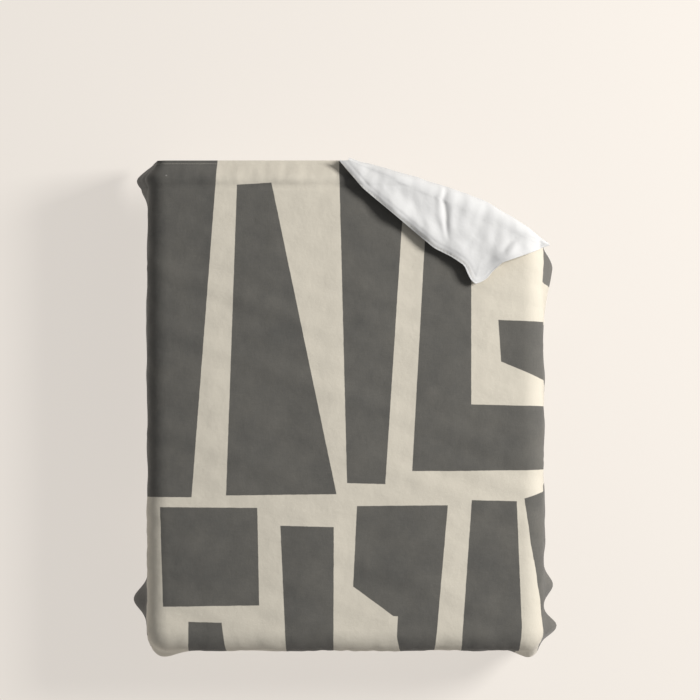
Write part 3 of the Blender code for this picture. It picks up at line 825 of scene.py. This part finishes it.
@dataclass
class Cover:
    """The outer cover: printed face, white back, hems, fold edges and their stitching."""

    drape: Drape
    wardrobe: Wardrobe
    cloth: float = 0.001
    inset: float = 0.0015
    columns: int = 226
    rows: int = 190
    hem_width: float = 0.013
    hem_wrap: float = 0.001
    stitch_pitch: float = 0.0042
    stitch_rows: tuple[float, float] = (0.0075, 0.0115)
    side_fold_start: float = 0.694
    seam_lap: float = 0.03

    def build(self) -> None:
        """Builds every piece of the cover that lies still."""
        self.face()
        self.back()
        self.hems()
        self.drop_fold()
        self.stitches()

    def sheet(self, name: str, low: Callable, high: Callable, columns: int, rows: int,
              inset: float) -> Piece:
        """A closed cloth over the lying duvet between two height functions of (s, t)."""
        s, t = self.drape.grid(columns, rows, inset)
        return closed_sheet(name, self.drape.place(s, t, high(s, t)), self.drape.place(s, t, low(s, t)),
                            self.drape.cloth_map(s, t))

    def area(self, inset: float) -> float:
        """Flat area of the lying cloth in square metres: the whole less the turned-back triangle."""
        drape = self.drape
        wide = drape.half_width - drape.fold_start
        return (2.0 * (drape.half_width - inset)) ** 2 - 0.5 * wide * wide * math.tan(drape.fold_angle)

    def face(self) -> None:
        """The printed upper cloth."""
        drape = self.drape
        made = self.sheet("cover_printed_face", lambda s, t: drape.face(s, t) - self.cloth, drape.face,
                          self.columns, self.rows, self.inset)
        self.wardrobe.keep(made, Look.PRINTED, ["cover_face_panel"])

    def back(self) -> None:
        """The white under cloth."""
        drape = self.drape
        made = self.sheet("cover_white_back", drape.sag, lambda s, t: drape.sag(s, t) + self.cloth,
                          200, 170, self.inset)
        self.wardrobe.keep(made, Look.WHITE, ["cover_back_panel"])

    def edge_ring(self, s: Array, t: Array, inward: Array, low: float, high: float) -> tuple[Array, Array]:
        """Rings of a flattened hem: an oval from just outside the hem to the hem's width inside.

        Args:
            s, t: places along the hem.
            inward: N x 2 directions into the cloth.
            low, high: heights of the underside and the top of the hem.

        Returns:
            The rings' places and flat-cloth places.
        """
        turn = turns(12)
        reach = 0.5 * (1.0 - np.cos(turn)) * (self.hem_width + self.hem_wrap) - self.hem_wrap
        middle, half = (low + high) / 2.0, (high - low) / 2.0
        rise = middle + half * np.sin(turn) * (0.55 + 0.45 * np.sin(turn) ** 2)
        ring_s = s[:, None] + inward[:, :1] * reach
        ring_t = t[:, None] + inward[:, 1:] * reach
        return self.drape.place(ring_s, ring_t, rise + 0.0 * ring_s), self.drape.cloth_map(ring_s, ring_t)

    def hems(self) -> None:
        """Five turned and sewn hems round the lying cloth, and the zip's two between them."""
        drape = self.drape
        right_end = float(drape.fold_limit(np.array(drape.half_width)))
        seam_end = drape.zip_half + self.seam_lap
        runs = (
            ("cover_hem_left", (-1.0, drape.foot), (-1.0, drape.head), (1.0, 0.0), "cover_seam_left"),
            ("cover_hem_right", (1.0, drape.foot), (1.0, right_end), (-1.0, 0.0), "cover_seam_right"),
            ("cover_hem_head", (-1.0, drape.head), (drape.fold_start, drape.head), (0.0, -1.0),
             "cover_seam_head"),
            ("cover_hem_foot_left", (-1.0, drape.foot), (-seam_end, drape.foot), (0.0, 1.0),
             "cover_seam_foot_left"),
            ("cover_hem_foot_right", (seam_end, drape.foot), (1.0, drape.foot), (0.0, 1.0),
             "cover_seam_foot_right"),
        )
        for name, start, end, inward, node in runs:
            count = int(math.dist(start, end) / 0.008) + 2
            line = np.linspace(start, end, count)
            rings, flat = self.edge_ring(line[:, 0], line[:, 1], np.tile(inward, (count, 1)), 0.0004,
                                         drape.hem + 0.0006)
            self.wardrobe.keep(closed_tube(name, rings, flat), Look.PRINTED, [node])
        end, count = drape.zip_half + drape.zip_run_out, 140
        for name, height, look in (
                ("cover_zip_hem_face", drape.zip_hem, Look.PRINTED),
                ("cover_zip_hem_back", 0.0011, Look.WHITE)):
            line = np.linspace((-end, drape.foot), (end, drape.foot), count)
            rings, flat = self.edge_ring(line[:, 0], line[:, 1], np.tile((0.0, 1.0), (count, 1)),
                                         height - 0.0011, height + 0.0004)
            self.wardrobe.keep(closed_tube(name, rings, flat), look)

    def drop_fold(self) -> None:
        """The folded edge down the hanging side, where the white back turns over at the fold line."""
        drape = self.drape
        s = np.linspace(self.side_fold_start, drape.half_width - self.cloth, 60)[:, None]
        t = drape.fold_limit(s)
        turn = np.linspace(0.0, math.pi, 14)[None, :]
        thick = drape.face(s, t)
        rise = 0.5 * thick * (1.0 - np.cos(turn))
        out = 0.34 * thick * np.sin(turn)
        lean = math.cos(drape.fold_angle)
        rounded = drape.place(s + 0.0 * out, t + lean * out, rise)
        inner = drape.place(s + 0.0 * out, t + lean * (out - 0.0012), rise)
        flat = np.stack([s + 0.0 * rise, t + rise], axis=-1)
        made = closed_sheet("cover_fold_edge_on_side", rounded, inner, flat)
        self.wardrobe.keep(made, Look.WHITE)

    def stitch_row(self, name: str, line: Array, up: Array) -> Piece:
        """A row of stitches along a line of places.

        Args:
            name: the row's name.
            line: dense places along the row.
            up: the cloth's outward direction at each place.

        Returns:
            The row as one object.
        """
        length = float(np.linalg.norm(np.diff(line, axis=0), axis=1).sum())
        count = max(int(length / self.stitch_pitch), 2)
        both = resample(np.concatenate([line, up * 0.0001], axis=1), count)
        line, up = both[:, :3], both[:, 3:] * 10000.0
        shape, faces = stitch_shape(self.stitch_pitch * STITCH_SHARE, STITCH_RADIUS)
        return repeated(name, shape, faces, line, frames_along(line, up))

    def stitches(self) -> None:
        """Two rows of stitches inside the hems, on the printed face and on the back."""
        drape = self.drape
        right_end = float(drape.fold_limit(np.array(drape.half_width))) - 0.004
        for row, depth in enumerate(self.stitch_rows):
            low, high = drape.foot + depth, drape.head - depth
            wide = drape.half_width - depth
            corners = np.array([(drape.fold_start - 0.004, high), (-wide, high), (-wide, low), (wide, low),
                                (wide, right_end)])
            path = resample(corners, 1800)
            s, t = path[:, 0], path[:, 1]
            for side, height in (("face", drape.face(s, t) + 0.0004), ("back", drape.sag(s, t) - 0.0002)):
                line = drape.place(s, t, height)
                up = unit(line - drape.place(s, t, height - 0.002))
                self.wardrobe.keep(self.stitch_row(f"cover_stitches_{side}_{row + 1}", line, up), Look.THREAD)


@dataclass
class Insert:
    """The filled insert inside the cover: casing, wadding, binding, ties and label."""

    drape: Drape
    cover: Cover
    wall: float = 0.0008
    box: float = 0.30
    inset: float = 0.016

    def quilt(self, s: Array, t: Array) -> Array:
        """Depth of the box stitching: narrow valleys on lines a box apart both ways."""
        near = np.minimum(np.abs((s / self.box + 0.5) % 1.0 - 0.5), np.abs((t / self.box + 0.5) % 1.0 - 0.5))
        return 0.006 * bell(near * self.box, 0.014) * self.drape.loft(s, t)

    def top(self, s: Array, t: Array) -> Array:
        """Outside of the upper casing: under the printed face, pressed in along the boxes."""
        return np.maximum(self.drape.face(s, t) - 0.0019 - self.quilt(s, t), 0.0022)

    def bottom(self, s: Array, t: Array) -> Array:
        """Outside of the lower casing, on the white back."""
        return self.drape.sag(s, t) + 0.0013

    def build(self) -> None:
        """Builds the insert's pieces that lie still."""
        keep, sheet = self.cover.wardrobe.keep, self.cover.sheet
        face = sheet("insert_casing_face", lambda s, t: self.top(s, t) - self.wall * 0.5, self.top,
                     180, 150, self.inset)
        keep(face, Look.CASING, ["insert_face_shell"])
        back = sheet("insert_casing_back", self.bottom, lambda s, t: self.bottom(s, t) + self.wall * 0.4,
                     150, 130, self.inset)
        keep(back, Look.CASING, ["insert_back_shell"])
        for piece in (face, back):
            self.cover.area(self.inset)
        batt = sheet("insert_wadding", lambda s, t: self.bottom(s, t) + 0.0006,
                     lambda s, t: np.maximum(self.top(s, t) - 0.0012, self.bottom(s, t) + 0.0010),
                     150, 130, self.inset + 0.003)
        keep(batt, Look.WADDING,
             ["fill_top", "fill_left_drop", "fill_right_drop", "fill_foot_drop", "fill_left_corner",
              "fill_right_corner"])
        self.binding()
        self.ties()

    def binding(self) -> None:
        """Bias binding round the insert's edge: a flattened tube along three hems and a half."""
        drape = self.drape
        wide = drape.half_width - self.inset + 0.003
        low, high = drape.foot + self.inset - 0.003, drape.head - self.inset + 0.003
        end = float(drape.fold_limit(np.array(wide)))
        corners = np.array([(drape.fold_start, high), (-wide, high), (-wide, low), (wide, low), (wide, end)])
        path = resample(corners, 700)
        turn = turns(8)
        inward = leftwards(path)
        reach = 0.004 * np.cos(turn)
        s = path[:, :1] + inward[:, :1] * reach
        t = path[:, 1:] + inward[:, 1:] * reach
        rings = drape.place(s, t, 0.0021 + 0.0008 * np.sin(turn) + 0.0 * s)
        tube = closed_tube("insert_bias_binding", rings, drape.cloth_map(s, t))
        self.cover.wardrobe.keep(tube, Look.CASING, ["insert_edge_binding"])

    def ties(self) -> None:
        """Gives the woven ties, loops and the blank label their twill finish."""
        for name in ("tie_foot_left", "tie_foot_right", "tie_head_left", "loop_foot_left", "loop_foot_right",
                     "loop_head_left", "care_label"):
            self.cover.wardrobe.dress_node(name, Look.TAPE)


@dataclass
class TurnedCorner:
    """The head corner folded back over the duvet, white side up, and the fold's own bend."""

    drape: Drape
    cover: Cover
    along: int = 150
    across: int = 120
    lift: float = 0.034
    lift_width: float = 0.050
    puff: float = 0.041
    hem_depth: float = 0.0045
    full_depth_run: float = 0.105
    rim: float = 0.004
    gap: float = 0.0028
    flat_area: float = 0.116
    fold_set_back: float = 0.001
    swell_passes: int = 30
    roll_overlap: int = 8
    roll_rise: float = 0.0004
    roll_wall: float = 0.0009
    hem_line: Outline = ((-0.022, 0.874), (0.066, 0.770), (0.163, 0.689), (0.256, 0.611), (0.328, 0.550),
                         (0.392, 0.518), (0.440, 0.486), (0.454, 0.452), (0.466, 0.428), (0.482, 0.418))
    side_line: Outline = ((0.756, 0.5605), (0.732, 0.553), (0.700, 0.538), (0.629, 0.513), (0.580, 0.496),
                          (0.547, 0.466), (0.524, 0.438), (0.502, 0.424), (0.482, 0.418))
    bulge: tuple[float, ...] = (0.012, 0.018, 0.030, 0.039, 0.046, 0.052, 0.058, 0.056, 0.046, 0.032, 0.013)
    creases: tuple[tuple[float, float, float, float, float, float], ...] = (
        (0.383, 0.585, 0.352, 0.770, -0.0048, 0.0080),
        (0.366, 0.590, 0.338, 0.775, 0.0030, 0.0120),
        (0.402, 0.600, 0.378, 0.770, 0.0026, 0.0130),
        (0.300, 0.600, 0.235, 0.770, -0.0022, 0.0150),
        (0.450, 0.540, 0.520, 0.690, -0.0024, 0.0160),
        (0.500, 0.480, 0.640, 0.590, -0.0030, 0.0140),
        (0.190, 0.700, 0.150, 0.800, -0.0018, 0.0130),
        (0.575, 0.520, 0.640, 0.600, -0.0022, 0.0120),
    )

    def patch(self) -> tuple[Array, Array]:
        """Places in plan: a patch filled in between the fold, the hem and the side edge.

        Each place is the sum of the two straight blends between opposite edges, less the blend
        of the four corners.

        Returns:
            Plan places, and their distance to the hem and side.
        """
        start = np.array([self.drape.fold_start, self.drape.head])
        hem = smooth_path(self.hem_line, self.along)
        side = smooth_path(self.side_line, self.across)
        p = np.linspace(0.0, 1.0, self.along)[:, None, None]
        q = np.linspace(0.0, 1.0, self.across)[None, :, None]
        fold = start + (side[0] - start) * np.linspace(0.0, 1.0, self.along)[:, None]
        fold = fold - self.drape.fold_away * self.fold_set_back
        open_end = fold[0] + (hem[0] - fold[0]) * np.linspace(0.0, 1.0, self.across)[:, None]
        plan = (1.0 - q) * fold[:, None] + q * hem[:, None] + (1.0 - p) * open_end[None] + p * side[None]
        corners = ((1.0 - p) * (1.0 - q) * fold[0] + (1.0 - p) * q * hem[0] + p * (1.0 - q) * fold[-1]
                   + p * q * hem[-1])
        plan = plan - corners
        rim = np.concatenate([hem, side])
        away = np.full(plan.shape[:2], 1.0)
        for point in rim[::3]:
            away = np.minimum(away, np.hypot(plan[..., 0] - point[0], plan[..., 1] - point[1]))
        return plan, np.maximum(away - self.rim, 0.0)

    def under(self, plan: Array, away: Array) -> Array:
        """Height of the turned corner's underside: on the printed face, lifted at its edge."""
        x, y = plan[..., 0], plan[..., 1]
        drape = self.drape
        s = np.minimum(x, drape.half_top)
        lying = drape.thickness + (drape.face(s, np.minimum(y, drape.head - 0.06)) - drape.thickness) * 0.5
        past = np.clip(x - drape.half_top, 0.0, 0.75 * drape.outer)
        droop = drape.outer - np.sqrt(drape.outer ** 2 - past ** 2)
        slope = 0.020 * smooth_step((0.09 - (drape.head - y)) / 0.09)
        uneven = 1.0 + 0.35 * rolling(x, y, 0.22, 31)
        return lying + self.gap - droop - slope + self.lift * bell(away, self.lift_width) * uneven

    def depth(self, plan: Array, away: Array) -> Array:
        """Thickness of the turned corner: thin at its hem, full and softly uneven behind it."""
        run = np.clip(away / self.full_depth_run, 0.0, 1.0)
        full = 1.0 - (1.0 - run) ** 1.8
        x, y = plan[..., 0], plan[..., 1]
        slow = 0.0022 * rolling(x, y, 0.20, 37) + 0.0010 * rolling(x, y, 0.07, 41)
        roll = 0.0016 * bell(away - 0.050, 0.018) - 0.0009 * bell(away - 0.016, 0.006)
        thin = smooth_step((self.drape.head - y + 0.02) / 0.10)
        creased = np.zeros_like(x)
        for ax, ay, bx, by, height, half in self.creases:
            run_x, run_y = bx - ax, by - ay
            length = math.hypot(run_x, run_y)
            share = ((x - ax) * run_x + (y - ay) * run_y) / length ** 2
            off = ((x - ax) * run_y - (y - ay) * run_x) / length
            wander = 0.004 * np.sin(7.0 * share + 11.0 * height * 1000.0)
            ends = smooth_step(share * 3.0 + 0.3) * smooth_step((1.0 - share) * 3.0 + 0.3)
            creased = creased + height * bell(off - wander, half) * ends
        swollen = (self.puff - self.hem_depth) * full * (0.25 + 0.75 * thin)
        return self.hem_depth + swollen + (slow + roll + creased) * smooth_step(away / 0.02)

    def flat(self, plan: Array) -> Array:
        """Flat-cloth places: the plan mirrored in the fold line."""
        drape = self.drape
        rest = plan - np.array([drape.fold_start, drape.head])
        return plan - 2.0 * (rest @ drape.fold_away)[..., None] * drape.fold_away

    def level(self, plan: Array, height: Array) -> Array:
        """Plan places with their height."""
        return np.concatenate([plan, height[..., None]], axis=-1)

    def build(self) -> None:
        """Builds the corner's cloths, filling, hem, stitches and fold."""
        plan, away = self.patch()
        under, depth = self.under(plan, away), self.depth(plan, away)
        flat, flip = self.flat(plan), slice(None, None, -1)
        layers = (
            ("corner_white_face", under + depth - 0.001, under + depth, Look.WHITE,
             ["corner_back_panel"]),
            ("corner_printed_face", under, under + 0.001, Look.PRINTED, ["corner_face_panel"]),
            ("corner_casing_upper", under + depth - 0.0019, under + depth - 0.0013, Look.CASING,
             ["corner_back_shell"]),
            ("corner_casing_lower", under + 0.0012, under + 0.0017, Look.CASING,
             ["corner_face_shell"]),
        )
        for name, low, high, look, nodes in layers:
            casing = "casing" in name
            view = (slice(3, -3, 2), slice(3, -4, 2)) if casing else (slice(None), slice(2, None))
            made = closed_sheet(name, self.level(plan, high)[view][:, flip],
                                self.level(plan, low)[view][:, flip], flat[view][:, flip])
            self.keep(made, look, nodes)
        view = (slice(4, -4, 2), slice(0, -6, 2))
        inner_low, inner_high = under + 0.0019, np.maximum(under + depth - 0.0021, under + 0.0022)
        batt = closed_sheet("corner_wadding", self.level(plan, inner_high)[view][:, flip],
                            self.level(plan, inner_low)[view][:, flip], flat[view][:, flip])
        self.keep(batt, Look.WADDING, ["corner_fill"])
        self.edge(plan, under, depth)
        self.fold(plan, under, depth)

    def keep(self, made: Piece, look: Look, nodes: Sequence[str] = ()) -> None:
        """Dresses a piece and lets it ride on the turned corner."""
        self.cover.wardrobe.keep(made, look, nodes, Body.CORNER)

    def edge(self, plan: Array, under: Array, depth: Array) -> None:
        """The corner's hem as a flattened tube along its rim, and two rows of stitches on it."""
        rim_plan = np.concatenate([plan[:, -1], plan[-1, -2::-1]])
        rim_low = np.concatenate([under[:, -1], under[-1, -2::-1]])
        rim_high = rim_low + np.concatenate([depth[:, -1], depth[-1, -2::-1]])
        both = resample(np.column_stack([rim_plan, rim_low, rim_high]), 220)
        line, low, high = both[:, :2], both[:, 2], both[:, 3]
        inward = leftwards(line)
        turn = turns(12)
        reach = 0.0035 * (1.0 - np.cos(turn)) - 0.0012
        middle, half = (low + high) / 2.0, (high - low) / 2.0 + 0.0002
        z = middle[:, None] + half[:, None] * np.sin(turn)
        rings = self.level(line[:, None] + inward[:, None] * reach[None, :, None], z)
        made = closed_tube("corner_hem_edge", rings, self.flat(rings[..., :2]))
        self.keep(made, Look.WHITE)
        for row, share in enumerate((0.955, 0.972)):
            column = int(share * (self.across - 1))
            path = self.level(plan[:, column], (under + depth)[:, column] + 0.0002)[4:-6]
            up = np.tile((0.0, 0.0, 1.0), (len(path), 1))
            self.keep(self.cover.stitch_row(f"corner_stitches_{row + 1}", path, up), Look.CORNER_THREAD)

    def fold(self, plan: Array, under: Array, depth: Array) -> None:
        """The bend between the lying duvet and the corner: a white outer roll and a printed inner crease.

        The roll is a half oval from the underside at the fold line, outwards and up, to the
        corner's top; its depth swells along the fold.
        """
        drape = self.drape
        upper = self.level(plan[:, 0], (under + depth)[:, 0])
        s = np.linspace(drape.fold_start, 0.7, self.along)
        lower = drape.place(s, drape.fold_limit(s), 0.0 * s)
        out_way = np.append(drape.fold_away, 0.0)
        share = np.linspace(0.0, 1.0, self.along)
        swell = np.interp(share, np.linspace(0.0, 1.0, len(self.bulge)), self.bulge)
        swell = eased(swell, self.swell_passes) + 0.0012 * rolling(share, 0.0 * share, 0.11, 43)
        turn = np.linspace(0.0, math.pi, 40)
        top = (under + depth)[:, 1:self.roll_overlap] + self.roll_rise
        over = self.level(plan[:, 1:self.roll_overlap], top)
        upper[:, 2] += self.roll_rise
        outer = np.concatenate([self.half_oval(lower, upper, out_way, swell, turn), over], axis=1)
        wall = np.array([0.0, 0.0, self.roll_wall])
        inner = np.concatenate(
            [self.half_oval(lower + wall, upper - wall, out_way, swell - 0.0010, turn), over - wall], axis=1)
        rows = outer.shape[1]
        flat = np.stack([np.repeat(s[:, None], rows, 1), drape.fold_limit(s)[:, None]
                         + swell[:, None] * np.linspace(0.0, 1.2, rows)[None]], axis=-1)
        roll = closed_sheet("fold_roll_white", outer, inner, flat)
        self.cover.wardrobe.dress(roll, Look.WHITE)
        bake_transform(roll)
        face_s = np.clip(s, drape.fold_start + 0.004, None)
        limit = drape.fold_limit(face_s)
        below = drape.place(face_s, limit - 0.001, drape.face(face_s, limit))
        above = self.level(plan[:, 0], under[:, 0] + 0.0005)
        turn = np.linspace(0.0, math.pi, 8)
        outer = self.half_oval(below, above, out_way, 0.0035 + 0.0 * s, turn)
        inner = self.half_oval(below - 0.6 * wall, above + 0.6 * wall, out_way, 0.0028 + 0.0 * s, turn)
        flat = np.repeat(np.stack([face_s, limit], axis=-1)[:, None], len(turn), 1)
        crease = closed_sheet("fold_crease_printed", outer, inner, flat)
        self.cover.wardrobe.dress(crease, Look.PRINTED)
        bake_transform(crease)

    def half_oval(self, lower: Array, upper: Array, out_way: Array, swell: Array, turn: Array) -> Array:
        """Half ovals from lower to upper points, bulging by swell along out_way."""
        middle, half = (lower + upper) / 2.0, (upper - lower) / 2.0
        return (middle[:, None] - half[:, None] * np.cos(turn)[None, :, None]
                + out_way * (swell[:, None] * np.sin(turn)[None])[..., None])


@dataclass
class Zip:
    """The zip in the foot hem: twill tapes, toothed coils, stops, slider and pull."""

    drape: Drape
    cover: Cover
    pitch: float = 0.0016
    tooth: float = 0.00042

    def build(self) -> None:
        """Builds the tapes and coils and dresses the hardware."""
        self.tapes()
        self.coils()
        for name in ("zip_stop_left", "zip_stop_right", "zip_slider", "zip_pull"):
            self.cover.wardrobe.dress_node(name, Look.METAL)

    def tapes(self) -> None:
        """Two woven tapes, each a closed strip with a raised edge cord and faint ribs."""
        for name in ("zip_tape_back", "zip_tape_face"):
            low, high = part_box(name)
            x = np.linspace(low.x, high.x, 420)[:, None]
            z = np.linspace(low.z, high.z, 9)[None, :]
            share = (z - low.z) / (high.z - low.z)
            lean = (high.y - low.y - 0.0006) * (1.0 - share)
            rib = 0.00006 * np.sin(x * 2.0 * math.pi / 0.0030) + 0.0001 * bell(share - 0.06, 0.07)
            middle = high.y - 0.0003 - lean
            layers = [np.stack(np.broadcast_arrays(x, middle + side * (0.0003 + rib), z), -1)
                      for side in (-1, 1)]
            flat = np.stack(np.broadcast_arrays(x, z), -1)
            made = closed_sheet(f"{name}_woven", layers[0], layers[1], flat)
            self.cover.wardrobe.keep(made, Look.TAPE, [name])

    def coils(self) -> None:
        """Two coils of teeth: small closed loops repeated along the hem, one to a pitch."""
        turn = turns(8)
        for name, shift in (("zip_coil_back", 0.0), ("zip_coil_face", 0.5)):
            low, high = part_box(name)
            middle = (low + high) / 2.0
            reach = (high.y - low.y) / 2.0 - self.tooth * 0.6
            ring = []
            for side in range(4):
                around = side * math.pi / 2.0
                radius = reach + self.tooth * math.cos(around) * 0.6
                ring.append(np.stack([self.tooth * math.sin(around) * np.ones(8), radius * np.cos(turn),
                                      radius * np.sin(turn)], -1))
            shape = np.stack(ring, axis=1).reshape(-1, 3)
            number = np.arange(32).reshape(8, 4)
            ahead = np.roll(number, -1, axis=0)
            faces = np.stack([number, ahead, np.roll(ahead, -1, axis=1), np.roll(number, -1, axis=1)], -1)
            count = int((high.x - low.x) / self.pitch) - 1
            x = low.x + self.pitch * (0.6 + shift * 0.5 + np.arange(count))
            places = np.stack([x, np.full(count, middle.y), np.full(count, middle.z)], -1)
            frames = np.tile(np.eye(3), (count, 1, 1))
            made = repeated(f"{name}_teeth", shape, faces.reshape(-1, 4), places, frames)
            self.cover.wardrobe.keep(made, Look.COIL, [name])


@dataclass
class Studio:
    """Pale floor, soft light from the right and the head, and the camera above."""

    floor_level: float = -0.402
    view_width: float = 2.597
    centre: tuple[float, float] = (0.017, 0.172)
    lens: float = 200.0
    sensor: float = 36.0
    top: float = 0.04
    lamp_place: tuple[float, float, float] = (6.29, 2.29, 5.23)
    lamp_size: float = 2.2
    lamp_power: float = 860.0
    lamp_colour: Colour = (1.0, 0.985, 0.965)
    sky: tuple[float, float, float, float] = (0.975, 0.985, 1.0, 1.0)
    sky_strength: float = 0.25
    floor_glow: tuple[float, float, float, float] = (0.9, 0.84, 0.775, 1.0)
    glow_strength: float = 0.69
    floor_half: float = 30.0

    def build(self) -> None:
        """Builds the floor, the lights and the camera."""
        self.floor()
        self.lamp()
        world = bpy.data.worlds.new("studio")
        world.use_nodes = True
        background = world.node_tree.nodes["Background"]
        background.inputs[0].default_value = self.sky
        background.inputs[1].default_value = self.sky_strength
        bpy.context.scene.world = world
        bpy.context.scene.view_settings.view_transform = "Standard"
        camera_data = bpy.data.cameras.new("camera")
        camera_data.lens = self.lens
        camera_data.sensor_width = self.sensor
        camera_data.clip_end = 100.0
        camera = bpy.data.objects.new("camera", camera_data)
        camera.location = (*self.centre, self.top + self.view_width * self.lens / self.sensor)
        bpy.context.scene.collection.objects.link(camera)
        bpy.context.scene.camera = camera

    def floor(self) -> None:
        """A wide pale floor just under the lowest hem."""
        nodes = Nodes("pale_floor")
        place = nodes.place()
        speck = nodes.noise(place, 3.0, 3.0)
        colour = nodes.blend(nodes.times(speck, 0.05), (0.250, 0.235, 0.217),
                             (0.235, 0.220, 0.203))
        material = nodes.finish(colour, None, 0.9, Emission_Color=self.floor_glow,
                                Emission_Strength=self.glow_strength)
        side = np.linspace(-self.floor_half, self.floor_half, 9)
        x, y = np.meshgrid(side, side, indexing="ij")
        points = np.stack([x, y, np.full_like(x, self.floor_level)], -1).reshape(-1, 3)
        made = make_mesh("floor", points, grid_quads(9, 9))
        made.data.materials.append(material)

    def lamp(self) -> None:
        """A square area light aimed at the duvet's middle."""
        data = bpy.data.lights.new("key", "AREA")
        data.size, data.energy, data.color = self.lamp_size, self.lamp_power, self.lamp_colour
        lamp = bpy.data.objects.new("key", data)
        lamp.location = self.lamp_place
        lamp.rotation_euler = (-Vector(self.lamp_place)).to_track_quat("-Z", "Y").to_euler()
        bpy.context.scene.collection.objects.link(lamp)


def main() -> None:
    """Builds the duvet piece by piece, then the studio."""
    logging.basicConfig(level=logging.INFO, format="%(message)s")
    wardrobe = Wardrobe()
    wardrobe.build()
    drape = Drape()
    cover = Cover(drape, wardrobe)
    cover.build()
    Insert(drape, cover).build()
    TurnedCorner(drape, cover).build()
    Zip(drape, cover).build()
    Studio().build()


if __name__ == "__main__":
    main()
    bpy.context.view_layer.update()
